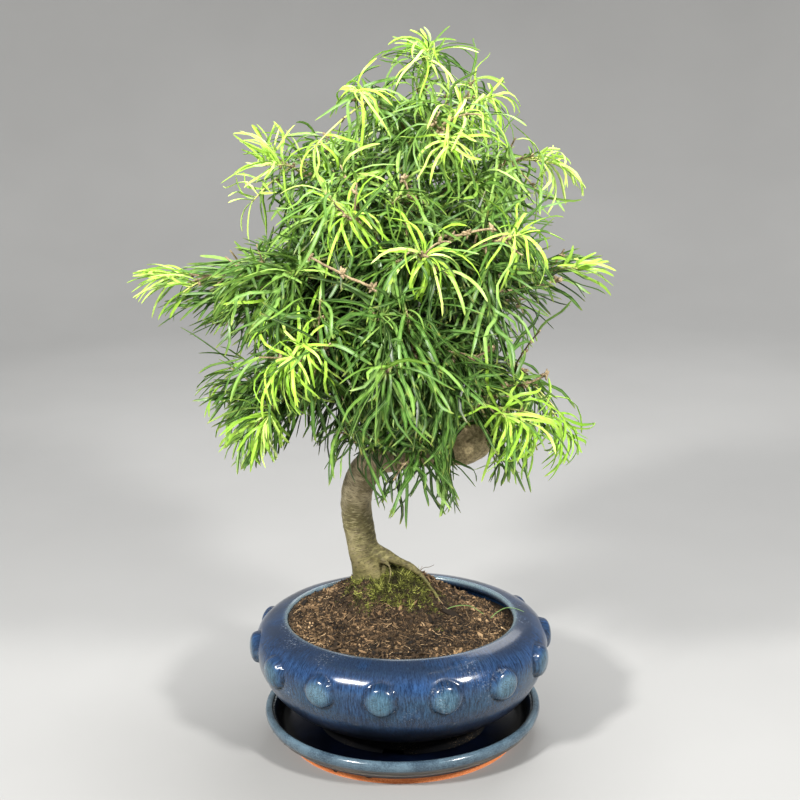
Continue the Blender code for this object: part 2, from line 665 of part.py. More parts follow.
def leaf_body(name, points, width, collection):
    """Tapered blade, flat above and keeled below, closed at its root and pointed."""
    along = np.diff(points, axis=0)
    along /= np.linalg.norm(along, axis=1, keepdims=True)
    flat = along[:, :2].mean(axis=0)
    across = np.array([-flat[1], flat[0], 0])
    across /= np.linalg.norm(across)
    shape = bmesh.new()
    rows = []
    for k in range(len(points) - 1):
        way = along[max(k, 1)] + along[max(k, 1) - 1]
        down = np.cross(way, across)
        down /= np.linalg.norm(down)
        if down[2] > 0:
            down = -down
        share = LEAF_SECTIONS[k][1]
        half = across * width * share / 2
        keel = down * LEAF_THICKNESS * (0.4 + 0.6 * share)
        corners = (points[k] + half - keel / 3, points[k] - half - keel / 3, points[k] + keel * 2 / 3)
        rows.append([shape.verts.new(tuple(float(v) for v in corner)) for corner in corners])
    tip = shape.verts.new(tuple(float(v) for v in points[-1]))
    shape.faces.new(rows[0])
    for low, high in zip(rows, rows[1:]):
        for i in range(3):
            j = (i + 1) % 3
            shape.faces.new((low[i], low[j], high[j]))
            shape.faces.new((low[i], high[j], high[i]))
    for i in range(3):
        shape.faces.new((rows[-1][i], rows[-1][(i + 1) % 3], tip))
    bmesh.ops.recalc_face_normals(shape, faces=shape.faces)
    mesh = bpy.data.meshes.new(name)
    shape.to_mesh(mesh)
    shape.free()
    return link_mesh(name, mesh, collection)


def leaf_sites(tip_leaves, along_leaves, draw):
    """Root place along the shoot, turn round it and angle off it for each leaf."""
    turn = draw.uniform(0, 2 * math.pi)
    first, last = ALONG_PLACES
    sites = []
    for k in range(tip_leaves):
        place = 1 - (1 - last) * (k + 0.3) / tip_leaves
        sites.append((place, turn + k * GOLDEN_ANGLE, TIP_SPREAD[0] + TIP_SPREAD[1] * k / tip_leaves))
    for k in range(along_leaves):
        place = first + (last - first) * (k + 0.5) / along_leaves
        sites.append((place, turn + (k + tip_leaves) * GOLDEN_ANGLE, ALONG_SPREAD))
    return sites


def place_leaf(crowd, points, site, node, shoot, draw):
    """Draws a leaf again and again, wider each time, until it is clear of all the others."""
    place, turn, spread = site
    run = np.linspace(0, 1, len(points))
    root = np.array([np.interp(place, run, points[:, k]) for k in range(3)])
    index = min(int(place * (len(points) - 1)), len(points) - 2)
    forward = points[index + 1] - points[index]
    forward /= np.linalg.norm(forward)
    side, up = cross_axes(forward)
    halves = LEAF_WIDTH / 2 * np.array([share for _, share in LEAF_SECTIONS])
    for attempt in range(PLACE_TRIES):
        wander = 0.25 + 1.6 * attempt / PLACE_TRIES
        a = turn + wander * draw.uniform(-1, 1)
        b = spread + 0.5 * wander * draw.uniform(-0.4, 0.4)
        across = math.cos(a) * side + math.sin(a) * up
        heading = math.cos(b) * forward + math.sin(b) * across + np.array([0, 0, LEAF_RISE])
        heading /= np.linalg.norm(heading)
        length = draw.uniform(*LEAF_LENGTH)
        droop = draw.uniform(*LEAF_DROOP)
        if math.hypot(heading[0], heading[1]) < LEAF_LEAST_REACH:
            continue
        line = leaf_line(root, heading, length, droop)
        if crowd.clearance(line, halves, node, shoot, 1) > LEAF_CLEARANCE:
            crowd.add(line, halves, node, shoot, 1)
            return line
    return None


def add_side_shoots(shoots, crowd, node, draw):
    """Gives a branch its side shoots, each turned until it is clear of all that is there."""
    line, thick = shoots[0]
    first_side = draw.choice([0.0, math.pi])
    for n, (place, length) in enumerate(SIDE_SHOOTS):
        start = SIDE_THICKNESS * (thick[0] + place * (thick[-1] - thick[0]))
        width = np.linspace(start, SHOOT_TIP_RADIUS, SIDE_POINTS)
        for attempt in range(PLACE_TRIES):
            wander = 0.2 + 1.4 * attempt / PLACE_TRIES
            turn = first_side + n * math.pi + wander * draw.uniform(-1, 1)
            side = side_shoot(line, place, length * draw.uniform(0.85, 1.15), turn, draw)
            if crowd.clearance(side, width, node, 0, 1) > SHOOT_CLEARANCE:
                crowd.add(side, width, node, n + 1, SIDE_POINTS)
                shoots.append((side, width))
                break


def build_leafy_branch(k, shoots, crowd, draw, collection, material):
    """One branch with its side shoots and leaves, fused into one closed body."""
    line = shoots[0][0]
    fullness = min(1, np.linalg.norm(line[-1] - line[0]) / FULL_BRANCH_REACH)
    bodies = [tube("twig", line, thick, 0, collection) for line, thick in shoots]
    for shoot, (line, _) in enumerate(shoots):
        tips, along = (SIDE_TIP_LEAVES, SIDE_LEAVES) if shoot else (
            TIP_LEAVES, int(round(MAIN_LEAVES * fullness)))
        for site in leaf_sites(tips, along, draw):
            path = place_leaf(crowd, line, site, k, shoot, draw)
            if path is not None:
                width = LEAF_WIDTH * draw.uniform(0.92, 1.04)
                bodies.append(leaf_body("leaf", path, width, collection))
    fuse("leafy_branch_%02d" % (k + 1), bodies, collection, material)


def build_tree(collection):
    """The wood in one node, and each leafy branch in its own, one gap from its stub."""
    bark = make_material("bark", (0.32, 0.28, 0.17), 0.7)
    leaf = make_material("leaf", (0.16, 0.33, 0.05), 0.5)
    draw = np.random.RandomState(BRANCH_SEED)
    crowd = Crowd()
    crowd.add(*trunk_samples(), len(BRANCHES), 0, 0)
    wood = wood_bodies("wood", 0.0, collection)
    plants = []
    for k in range(len(BRANCHES)):
        start, stub_end, root_radius, line, thick = branch_plan(k)
        if k:
            radii = [root_radius + GAP] * 2
            wood.append(tube("stub_%02d" % k, [start, stub_end], radii, 0, collection))
        crowd.add(line, thick, k, 0, len(line))
        plants.append([(line, thick)])
    shade_round(fuse("trunk", wood, collection, bark))
    for k, shoots in enumerate(plants):
        line = shoots[0][0]
        if k and np.linalg.norm(line[-1] - line[0]) >= BARE_BRANCH_REACH:
            add_side_shoots(shoots, crowd, k, draw)
    for k, shoots in enumerate(plants):
        build_leafy_branch(k, shoots, crowd, draw, collection, leaf)


def main():
    clear_scene()
    parts = make_collection("golden_larch_bonsai")
    cutters = make_collection("cutters")
    build_saucer(parts)
    build_pot(parts, cutters)
    build_drain_mesh(parts, cutters)
    soil = build_soil(parts, cutters)
    build_tree(parts)
    hole = wood_bodies("soil_hole", GAP, cutters)
    add_cutter(soil, fuse("soil_hole_cutter", hole, cutters, soil.data.materials[0]), cutters)


main()
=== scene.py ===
import math

import bpy
import numpy as np
from mathutils import Matrix, Vector


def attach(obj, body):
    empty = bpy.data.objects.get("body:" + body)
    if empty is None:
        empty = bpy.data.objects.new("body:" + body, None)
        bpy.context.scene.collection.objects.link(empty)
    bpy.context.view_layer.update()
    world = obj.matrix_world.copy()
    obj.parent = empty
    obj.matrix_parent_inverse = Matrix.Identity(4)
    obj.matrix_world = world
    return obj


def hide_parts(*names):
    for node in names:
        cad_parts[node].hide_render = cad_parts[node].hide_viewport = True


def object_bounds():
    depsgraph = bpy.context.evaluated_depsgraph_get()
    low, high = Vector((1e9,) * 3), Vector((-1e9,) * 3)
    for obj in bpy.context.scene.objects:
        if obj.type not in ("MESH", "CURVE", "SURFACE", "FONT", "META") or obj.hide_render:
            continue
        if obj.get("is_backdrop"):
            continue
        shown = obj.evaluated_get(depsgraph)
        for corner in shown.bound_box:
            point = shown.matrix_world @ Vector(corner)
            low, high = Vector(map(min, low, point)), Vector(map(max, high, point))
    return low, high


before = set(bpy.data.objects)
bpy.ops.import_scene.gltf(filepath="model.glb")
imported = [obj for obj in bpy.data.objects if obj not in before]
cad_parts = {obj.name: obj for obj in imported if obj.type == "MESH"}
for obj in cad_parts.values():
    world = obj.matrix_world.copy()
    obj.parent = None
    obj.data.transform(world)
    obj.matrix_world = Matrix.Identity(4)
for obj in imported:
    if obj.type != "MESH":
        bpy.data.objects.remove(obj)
cadLow, cadHigh = (np.array(corner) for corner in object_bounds())
print("frame loaded,", len(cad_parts), "solids")

mm = 0.001
up = np.array([0.0, 0.0, 1.0])


# Small tools on whole arrays

def unit(vectors):
    # v / |v| along the last axis
    return vectors / np.maximum(np.linalg.norm(vectors, axis=-1, keepdims=True), 1e-12)


def smoothStep(value, low, high):
    # 3t^2 - 2t^3, with t = (value - low) / (high - low) held in 0..1
    t = np.clip((value - low) / (high - low), 0, 1)
    return t * t * (3 - 2 * t)


def around(turn, first, second):
    # cos(turn) first + sin(turn) second
    return np.cos(turn) * first + np.sin(turn) * second


def squareTo(axis, vectors):
    # the vectors less their share along a unit axis, made one long
    return unit(vectors - np.sum(vectors * axis, axis=-1, keepdims=True) * axis)


def steps(points, axis=0):
    # the distance from each point to the next
    return np.linalg.norm(np.diff(points, axis=axis), axis=-1)


def runLength(points):
    # how far along its line each point lies
    return np.append(0, np.cumsum(steps(points)))


def atHeight(plan, height):
    # points of the plan with one height, or with one each
    z = np.broadcast_to(height, plan.shape[:-1])
    return np.concatenate([plan, z[..., None]], axis=-1)


def turnPlan(x, y, turn):
    # x and y turned about Z
    c, s = math.cos(turn), math.sin(turn)
    return x * c - y * s, x * s + y * c


def latticeValue(cell, seed):
    # one fixed value in -1..1 for each lattice point, from its mixed integer bits
    n = (cell[..., 0] * 73856093) ^ (cell[..., 1] * 19349663) ^ (cell[..., 2] * 83492791) ^ (seed * 265443)
    n = ((n ^ (n >> 13)) * 1274126177) & 0x7FFFFFFF
    return ((n ^ (n >> 15)) & 0xFFFF) / 32767.5 - 1


def noise(points, size, seed=0):
    # corner values of a lattice with cells of this size, blended by a smooth step along each axis
    place = points / size
    cell = np.floor(place).astype(np.int64)
    f = place - cell
    f = f * f * (3 - 2 * f)
    total = np.zeros(points.shape[:-1])
    for corner in range(8):
        step = np.array([corner & 1, corner >> 1 & 1, corner >> 2 & 1])
        total += np.prod(np.where(step, f, 1 - f), axis=-1) * latticeValue(cell + step, seed)
    return total


def roughNoise(points, size, octaves, seed=0):
    # noise at size, size/2, size/4 and so on, each half as strong as the one before
    return sum(noise(points, size / 2 ** k, seed + k) / 2 ** k for k in range(octaves))


def flatNoise(x, y, size, seed):
    return noise(np.stack([x, y, 0 * x], axis=-1), size, seed)


def smoothLine(rows, count):
    # even samples of the Catmull-Rom curve through rows of numbers, evened by length
    rows = np.array(rows, dtype=float)
    padded = np.vstack([2 * rows[0] - rows[1], rows, 2 * rows[-1] - rows[-2]])
    place = np.linspace(0, len(rows) - 1, 20 * len(rows))
    index = np.minimum(place.astype(int), len(rows) - 2)
    t = (place - index)[:, None]
    a, b, c, d = (padded[index + k] for k in range(4))
    fine = 0.5 * (2 * b + (c - a) * t + (2 * a - 5 * b + 4 * c - d) * t ** 2
                  + (3 * b - a - 3 * c + d) * t ** 3)
    run = runLength(fine[:, :3])
    even = np.linspace(0, run[-1], count)
    return np.stack([np.interp(even, run, fine[:, k]) for k in range(fine.shape[1])], axis=1)


def gridQuads(rows, columns, closedRows=False):
    # corner numbers of a grid whose last column joins its first, and its last row too if asked
    row = np.arange(rows if closedRows else rows - 1)[:, None] * columns
    above = (row + columns) % (rows * columns)
    here = np.arange(columns)[None, :]
    there = (here + 1) % columns
    return np.stack([row + here, row + there, above + there, above + here], axis=-1).reshape(-1, 4)


def poleFan(first, columns, pole, atStart):
    # triangles from a ring to its pole
    here = first + np.arange(columns)
    there = first + (np.arange(columns) + 1) % columns
    middle = np.full(columns, pole)
    order = [there, here, middle] if atStart else [here, there, middle]
    return np.stack(order, axis=1)


def copyFaces(faces, copies, step):
    # the same faces for each of many copies, whose points follow each other
    return (faces[None] + (np.arange(copies) * step)[:, None, None]).reshape(-1, faces.shape[1])


def closedFaces(rows, columns):
    # a grid's quads, and a fan at each end to poles that follow its points
    count = rows * columns
    fans = [poleFan(0, columns, count, True), poleFan(count - columns, columns, count + 1, False)]
    return [gridQuads(rows, columns), np.vstack(fans)]


def addObject(name, data):
    item = bpy.data.objects.new(name, data)
    bpy.context.scene.collection.objects.link(item)
    return item


def makeMesh(name, points, faces):
    # faces is a list of arrays of corner numbers
    mesh = bpy.data.meshes.new(name)
    corners = [corner for block in faces for corner in block.tolist()]
    mesh.from_pydata(points.reshape(-1, 3).tolist(), [], corners)
    return mesh


def addPiece(mesh, material, node=None, values=None, crease=None):
    # values holds a number or a vector for each point
    for key, value in (values or {}).items():
        flat = np.asarray(value, dtype=np.float32)
        isVector = flat.ndim > 1 and flat.shape[-1] == 3
        attribute = mesh.attributes.new(key, "FLOAT_VECTOR" if isVector else "FLOAT", "POINT")
        attribute.data.foreach_set("vector" if isVector else "value", flat.reshape(-1))
    mesh.shade_smooth()
    if crease:
        mesh.set_sharp_from_angle(angle=math.radians(crease))
    mesh.materials.clear()
    mesh.materials.append(material)
    piece = addObject(mesh.name, mesh)
    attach(piece, "root")
    if node:
        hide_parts(node)


# Shader tools

def tone(red, green, blue):
    # a colour given as it shows on screen, 0 to 255, made linear by the sRGB curve
    shares = [channel / 255 for channel in (red, green, blue)]
    return tuple(s / 12.92 if s <= 0.04045 else ((s + 0.055) / 1.055) ** 2.4 for s in shares) + (1.0,)


class Knob:
    # a socket that takes part in sums: each operation on it adds a node
    def __init__(self, paint, socket):
        self.paint = paint
        self.socket = socket

    def math(self, operation, *others):
        return self.paint.add("ShaderNodeMath", {"operation": operation}, [self, *others])

    def __add__(self, other):
        return self.math("ADD", other)

    def __mul__(self, other):
        return self.math("MULTIPLY", other)

    def __sub__(self, other):
        return self.math("SUBTRACT", other)

    def __rsub__(self, other):
        return self.paint.add("ShaderNodeMath", {"operation": "SUBTRACT"}, [other, self])

    __radd__ = __add__
    __rmul__ = __mul__

    def clamp(self):
        return self.math("MAXIMUM", 0.0).math("MINIMUM", 1.0)

    def step(self, low, high):
        # the smooth step from 0 at low to 1 at high
        sockets = {"Value": self, "From Min": low, "From Max": high}
        return self.paint.add("ShaderNodeMapRange", {"interpolation_type": "SMOOTHSTEP"}, sockets)

    def stretch(self, *factors):
        return self.paint.add("ShaderNodeVectorMath", {"operation": "MULTIPLY"}, [self, factors])


class Paint:
    # one material and the nodes behind its shader; plain colours are given as they show on screen
    def __init__(self, name, **constants):
        self.material = bpy.data.materials.new(name)
        self.material.use_nodes = True
        self.tree = self.material.node_tree
        self.shader = self.tree.nodes["Principled BSDF"]
        for key, value in constants.items():
            self.shader.inputs[key.replace("_", " ")].default_value = value

    def add(self, kind, settings, inputs, output=0):
        # any node: its settings first, then the values or links of its sockets
        node = self.tree.nodes.new(kind)
        for key, value in settings.items():
            if key == "stops":
                self.setStops(node.color_ramp.elements, value)
            else:
                setattr(node, key, value)
        for key, value in (inputs.items() if isinstance(inputs, dict) else enumerate(inputs)):
            self.feed(node.inputs[key], value)
        return Knob(self, node.outputs[output])

    def setStops(self, elements, stops):
        while len(elements) < len(stops):
            elements.new(0.5)
        for element, (place, colour) in zip(elements, stops):
            element.position = place
            element.color = tone(*colour)

    def feed(self, socket, value):
        if isinstance(value, Knob):
            self.tree.links.new(value.socket, socket)
        else:
            socket.default_value = tone(*value) if socket.type == "RGBA" else value

    def point(self):
        return self.add("ShaderNodeTexCoord", {}, [], "Object")

    def height(self):
        return self.add("ShaderNodeSeparateXYZ", {}, [self.point()], 2)

    def value(self, name, output="Fac"):
        return self.add("ShaderNodeAttribute", {"attribute_name": name}, [], output)

    def noise(self, vector, scale, detail=2.0, roughness=0.5):
        sockets = {"Vector": vector, "Scale": scale, "Detail": detail, "Roughness": roughness}
        return self.add("ShaderNodeTexNoise", {}, sockets)

    def cells(self, vector, scale, output="Distance"):
        return self.add("ShaderNodeTexVoronoi", {}, {"Vector": vector, "Scale": scale}, output)

    def mix(self, share, first, second, blend="MIX"):
        settings = {"data_type": "RGBA", "blend_type": blend}
        return self.add("ShaderNodeMix", settings, {0: share, 6: first, 7: second}, 2)

    def layers(self, colour, rows):
        # colours laid over the first in turn, each by its own share
        for share, layer in rows:
            colour = self.mix(share, colour, layer)
        return colour

    def ramp(self, value, *stops):
        return self.add("ShaderNodeValToRGB", {"stops": stops}, [value])

    def bump(self, height, strength, distance):
        sockets = {"Strength": strength, "Distance": distance, "Height": height}
        self.feed(self.shader.inputs["Normal"], self.add("ShaderNodeBump", {}, sockets))

    def finish(self, colour, roughness):
        self.feed(self.shader.inputs["Base Color"], colour)
        self.feed(self.shader.inputs["Roughness"], roughness)
        return self.material


# Ovals of the pot and the saucer

pot = {
    "halfWidth": 0.1200, "halfDepth": 0.1055, "turn": math.radians(-4.4),
    "footInset": 0.0500, "footBottom": 0.0083, "underside": 0.0180, "floor": 0.0280, "drainRadius": 0.0120,
    "notchWidth": 0.0160, "notchHeight": 0.0045,
    "bowlTop": 0.0860, "bowlBottom": 0.0180, "bowlReach": 0.0750,
    "studs": 14, "studStart": 0.484, "studHeight": 0.0825, "studRadius": 0.0125,
    "studRise": 0.0055, "studSink": 0.0006, "studBlend": 0.0009, "grooveRadius": 0.01365,
    "grooveWidth": 0.0011, "grooveDepth": 0.00055, "columns": 400, "outerRows": 88,
    "bowlEnd": 0.0022, "studBand": 0.0155, "plainWeight": 0.55, "drainStep": 0.0050, "rimRows": 1.7,
    "studFade": (0.0055, 0.0127), "shadeRadius": 0.0134, "shadeWidth": 0.0013,
    "waveHeight": 0.00022, "waveSize": 0.016, "waveMost": 0.0003, "waveInset": 0.0001,
    # the foot, the shoulder, and the lip with the inside wall, as (inset, height)
    "foot": [(0.0580, 0.0180), (0.0580, 0.0092), (0.0571, 0.0083), (0.0510, 0.0083), (0.0500, 0.0093),
             (0.0500, 0.0140), (0.0500, 0.0195)],
    "shoulder": [(0.0, 0.0825), (0.0014, 0.0905), (0.0050, 0.0965), (0.0105, 0.1010), (0.0165, 0.1038),
                 (0.0225, 0.1056), (0.0245, 0.1060)],
    "lip": [(0.0258, 0.1058), (0.0268, 0.1052), (0.0275, 0.1042), (0.0277, 0.1030), (0.0262, 0.1000),
            (0.0205, 0.0955), (0.0128, 0.0890), (0.0085, 0.0800), (0.0088, 0.0700), (0.0125, 0.0590),
            (0.0190, 0.0480), (0.0270, 0.0400), (0.0400, 0.0325), (0.0560, 0.0280)],
}
saucer = {
    "halfWidth": 0.1145, "halfDepth": 0.1036, "turn": math.radians(1.5),
    "floor": 0.0080, "columns": 288, "outerRows": 34, "lipRows": 26, "innerRows": 16,
    "ripple": 0.00035, "rippleStep": 0.0011, "rippleFrom": (0.008, 0.011), "rippleTo": (0.019, 0.022),
    "rippleLowest": 0.006, "bareStep": 0.0003, "bareLowest": 0.0004, "glazeEdge": 0.0066,
    "glazeFade": (-0.0002, 0.0005), "floorInsets": (0.0320, 0.0500, 0.0800),
    "edgeWaves": [(0.0011, 0.0085, 5), (0.0005, 0.0028, 6)],   # height, size, seed
    # (inset, height) of the outside, the lip and the inside
    "outer": [(0.0192, 0.0005), (0.0188, 0.0022), (0.0186, 0.0045), (0.0136, 0.0078), (0.0095, 0.0110),
              (0.0052, 0.0152), (0.0022, 0.0190), (0.0006, 0.0218), (0.0, 0.0245)],
    "lip": [(0.0005, 0.0265), (0.0016, 0.0279), (0.0035, 0.0285), (0.0052, 0.0282), (0.0062, 0.0274),
            (0.0067, 0.0262), (0.0080, 0.0252), (0.0090, 0.0232)],
    "inner": [(0.0108, 0.0185), (0.0130, 0.0130), (0.0170, 0.0094), (0.0225, 0.0080)],
    "bottom": [(0.0800, 0.0), (0.0500, 0.0), (0.0260, 0.0), (0.0194, 0.0)],
    "drips": [(-2.130, 0.036, 0.0044), (-1.815, 0.044, 0.0032)],   # angle, half width, length
}


def evenAngles(shape, count, phase=0):
    # ellipse angles evenly spaced by length round its edge
    fine = np.linspace(0, 2 * math.pi, 2881)
    edge = np.stack([shape["halfWidth"] * np.cos(fine), shape["halfDepth"] * np.sin(fine)], axis=1)
    run = runLength(edge)
    return np.interp((np.arange(count) + phase) / count * run[-1], run, fine)


def ovalPlan(shape, inset, angle):
    # the oval's point less inset times its outward normal, then turned about Z
    a, b = shape["halfWidth"], shape["halfDepth"]
    point = np.stack([a * np.cos(angle), b * np.sin(angle)], axis=-1)
    normal = unit(np.stack([np.cos(angle) / a, np.sin(angle) / b], axis=-1))
    plan = point - (inset + 0 * angle)[..., None] * normal
    return np.stack(turnPlan(plan[..., 0], plan[..., 1], shape["turn"]), axis=-1)


def ovalNormal(shape, angle):
    # outward across the oval's edge, level
    return atHeight(unit(ovalPlan(shape, 0, angle) - ovalPlan(shape, mm, angle)), 0)


def ovalRings(shape, profile, angle):
    # each (inset, height) of the profile carried round the oval: rows x columns x 3
    return atHeight(ovalPlan(shape, profile[:, :1], angle[None]), profile[:, 1:2])


def potOutside():
    # (inset, height) up the outside, closer rows where the studs are
    inset = np.linspace(pot["footInset"], pot["bowlEnd"], 30)
    reach = 1 - inset / pot["bowlReach"]
    height = pot["bowlTop"] - (pot["bowlTop"] - pot["bowlBottom"]) * np.sqrt(1 - reach ** 2)
    line = smoothLine(np.vstack([np.stack([inset, height], axis=1), pot["shoulder"]]), 400)
    line[:, 0] = np.maximum(line[:, 0], 0)
    atStuds = np.abs(line[:, 1] - pot["studHeight"]) < pot["studBand"]
    weight = np.cumsum(np.where(atStuds, 1.0, pot["plainWeight"]))
    place = np.linspace(weight[0], weight[-1], pot["outerRows"])
    return np.stack([np.interp(place, weight, line[:, k]) for k in range(2)], axis=1)


def studPush(points, centre, outward):
    # how far a wall point is moved along its stud's axis: up to the dome where that stands out,
    # joined by a smooth maximum, less a groove that runs round the dome's foot; then the share of
    # the stud's colour, and the share of painted shade: a dark ring in the groove round the dome
    offset = points - centre
    rise = np.sum(offset * outward, axis=-1)
    flat = np.sqrt(np.maximum(np.sum(offset ** 2, axis=-1) - rise ** 2, 0))
    ratio = np.clip(flat / pot["studRadius"], 0, 1)
    dome = pot["studRise"] * np.sqrt(1 - ratio ** 2) - pot["studSink"]
    joined = 0.5 * (rise + dome + np.sqrt((rise - dome) ** 2 + pot["studBlend"] ** 2))
    groove = pot["grooveDepth"] * np.exp(-((flat - pot["grooveRadius"]) / pot["grooveWidth"]) ** 2)
    push = np.where(flat < pot["studRadius"] * 1.02, joined - rise, 0) - groove
    shade = np.exp(-((flat - pot["shadeRadius"]) / pot["shadeWidth"]) ** 2)
    return push, 1 - smoothStep(flat, *pot["studFade"]), shade


def buildPot(material):
    # the profile carried round the oval, with studs pushed out of the wall, a faint wave in it, and
    # four notches lifted into the foot
    angle = evenAngles(pot, pot["columns"])
    belly = ovalPlan(pot, 0, angle)
    wall, under = potOutside(), len(pot["foot"])
    profile = np.vstack([pot["foot"], wall, pot["lip"]])
    hole = [atHeight(pot["drainRadius"] * unit(belly), z)[None]
            for z in (pot["floor"], pot["floor"] - pot["drainStep"], pot["underside"])]
    rings = np.concatenate([ovalRings(pot, profile, angle), *hole])
    studAngle = evenAngles(pot, pot["studs"], pot["studStart"])
    centres = ovalPlan(pot, 0, studAngle)
    nearest = np.argmin(np.linalg.norm(belly[:, None] - centres[None], axis=-1), axis=1)
    centre = atHeight(centres[nearest], pot["studHeight"])
    axis = ovalNormal(pot, studAngle)[nearest]
    # groove here is the share of painted shade in the groove round each stud, not the groove's depth
    push, stud, groove = studPush(rings, centre[None], axis[None])
    row = np.arange(len(rings))[:, None]
    shown = ((row >= under) & (row < under + len(wall))).astype(float)
    rings = rings + (push * shown)[..., None] * axis[None]
    wave = pot["waveHeight"] * roughNoise(rings, pot["waveSize"], 3, 3) * shown
    inward = np.maximum(wave, -pot["waveMost"]) + pot["waveInset"] * shown
    rings = rings - inward[..., None] * ovalNormal(pot, angle)[None]
    along, across = turnPlan(rings[..., 0], rings[..., 1], -pot["turn"])
    top = pot["footBottom"] + pot["notchHeight"]
    notch = np.minimum(np.abs(along), np.abs(across)) < pot["notchWidth"] / 2
    rings[..., 2] = np.where(notch & (rings[..., 2] < top) & (row < under), top, rings[..., 2])
    length = runLength(profile)
    length = np.append(length, np.full(3, length[-1]))[:, None]
    rimEdge = np.exp(-((row - (under + len(wall) + 1.0)) / pot["rimRows"]) ** 2)
    values = {"glaze": atHeight(np.broadcast_to(belly, rings.shape[:2] + (2,)), length),
              "stud": stud * shown, "groove": groove * shown,
              "rimEdge": np.broadcast_to(rimEdge, rings.shape[:2])}
    mesh = makeMesh("pot_body", rings, [gridQuads(len(rings), len(angle), closedRows=True)])
    addPiece(mesh, material, "pot", values, 50)


def potPaint():
    paint = Paint("potGlaze", Coat_Roughness=0.14, Specular_IOR_Level=0.15)
    point, z, glaze = paint.point(), paint.height(), paint.value("glaze", "Vector")
    stud, groove, rimEdge = paint.value("stud"), paint.value("groove"), paint.value("rimEdge")
    streak = paint.noise(glaze.stretch(1, 1, 0.13), 900, 3, 0.6)
    fine = paint.noise(glaze.stretch(1, 1, 0.22), 2200, 2, 0.6)
    cloud = paint.noise(glaze, 38, 3, 0.55)
    patch = paint.noise(glaze.stretch(1, 1, 0.7), 16)
    fleck = paint.noise(point, 1100, 2, 0.7)
    hair = (streak * 0.6 + fine * 0.4).step(0.36, 0.64)
    band = z.step(0.0520, 0.0680) * (1 - z.step(0.0780, 0.0940))
    low = 1 - (z + (patch - 0.5) * 0.026).step(0.0370, 0.0750)
    under = 1 - z.step(0.0200, 0.0420)
    scuff = paint.noise(point, 24, 1).step(0.58, 0.70) * paint.noise(point, 520, 3, 0.8).step(0.56, 0.66)
    scuff = scuff * z.step(0.055, 0.075)
    deep = paint.mix(patch.step(0.4, 0.6), (8, 9, 12), (24, 20, 17))
    dome = paint.mix(hair, (34, 60, 76), (74, 108, 124))
    body = paint.layers(paint.mix(hair, (12, 26, 48), (36, 62, 96)), [
        (cloud.step(0.38, 0.64), paint.mix(hair, (14, 32, 60), (40, 70, 110))),
        (band * (patch * 0.6 + cloud * 0.4).step(0.36, 0.60) * 0.8,
         paint.mix(hair, (14, 32, 48), (46, 76, 98))),
        (z.step(0.0940, 0.1030) * (cloud * 0.6 + patch * 0.4).step(0.36, 0.54) * 0.85,
         paint.mix(fine, (10, 14, 22), (40, 52, 72))),
        (low * 0.95, paint.mix(hair, deep, (22, 23, 25))),
        # painted shadow: the foot and the lowest part of the belly made near black
        (1 - z.step(0.0230, 0.0400), (10, 11, 14)),
        (fleck.step(0.60, 0.70) * low * patch.step(0.42, 0.62) * 0.7, (150, 132, 106)),
        (stud * 0.72, paint.mix(cloud.step(0.44, 0.62) * 0.5, dome, (110, 142, 158))),
        (stud * fleck.step(0.50, 0.60) * cloud.step(0.34, 0.54) * 0.7, (44, 50, 44)),
        # painted shade: a dark ring in the groove round each stud
        (groove * 0.45, (18, 23, 32)),
        (rimEdge * fine.step(0.28, 0.5) * 0.7, (118, 136, 140)),
        (scuff * 0.28, (168, 176, 182)),
    ])
    paint.feed(paint.shader.inputs["Coat Weight"], (1 - under) * (0.66 - low * 0.36))
    paint.bump(fine * 0.25 + streak * 0.2 + cloud * 0.8 - fleck.step(0.66, 0.74) * 0.5, 0.3, 0.0004)
    rough = 0.24 + scuff * 0.30 + low * 0.14 + under * 0.40 + (fine - 0.5) * 0.16
    return paint.finish(body, rough.clamp())


def buildSaucer(material):
    # the profile carried round the oval, finely rippled outside, with a bare foot set back below the
    # glaze's uneven edge, which two drips run below
    angle = evenAngles(saucer, saucer["columns"])
    bottom, height = saucer["bottom"], saucer["floor"]
    upper = np.vstack([smoothLine(saucer["outer"], saucer["outerRows"]),
                       smoothLine(saucer["lip"], saucer["lipRows"])[1:],
                       smoothLine(saucer["inner"], saucer["innerRows"])[1:]])
    upper[:, 0] = np.maximum(upper[:, 0], 0)
    whole = np.vstack([bottom, upper, [(inset, height) for inset in saucer["floorInsets"]]])
    rings = ovalRings(saucer, whole, angle)
    z = rings[..., 2]
    outer = np.arange(len(whole))[:, None] < len(bottom) + saucer["outerRows"]
    ripple = saucer["ripple"] * np.sin(z / saucer["rippleStep"]) * smoothStep(z, *saucer["rippleFrom"])
    ripple = ripple * (1 - smoothStep(z, *saucer["rippleTo"]))
    side = atHeight(unit(ovalPlan(saucer, 0, angle)), 0)[None]
    outward = np.where(outer, ripple - saucer["ripple"], 0) * (z > saucer["rippleLowest"])
    rings = rings + outward[..., None] * side
    flat = rings * np.array([1, 1, 0])
    edge = saucer["glazeEdge"]
    for rise, size, seed in saucer["edgeWaves"]:
        edge = edge + rise * noise(flat, size, seed)
    turned = np.broadcast_to(angle[None] % (2 * math.pi), edge.shape)
    for place, half, length in saucer["drips"]:
        edge = edge - length * np.exp(-((turned - place % (2 * math.pi)) / half) ** 4)
    bare = rings[..., 2] - edge
    glazed = smoothStep(bare, *saucer["glazeFade"]) * outer
    outward = saucer["bareStep"] * (glazed - 1) * (rings[..., 2] > saucer["bareLowest"]) * outer
    rings = rings + outward[..., None] * side
    bareValue = np.where(outer, bare, 0.01)
    bareValue[:len(bottom)] = -0.01
    points = np.vstack([rings.reshape(-1, 3), [[0, 0, 0], [0, 0, height]]])
    mesh = makeMesh("saucer_dish", points, closedFaces(len(rings), len(angle)))
    values = {"bare": np.append(bareValue.reshape(-1), [-0.01, 0.01])}
    addPiece(mesh, material, "saucer", values, 50)


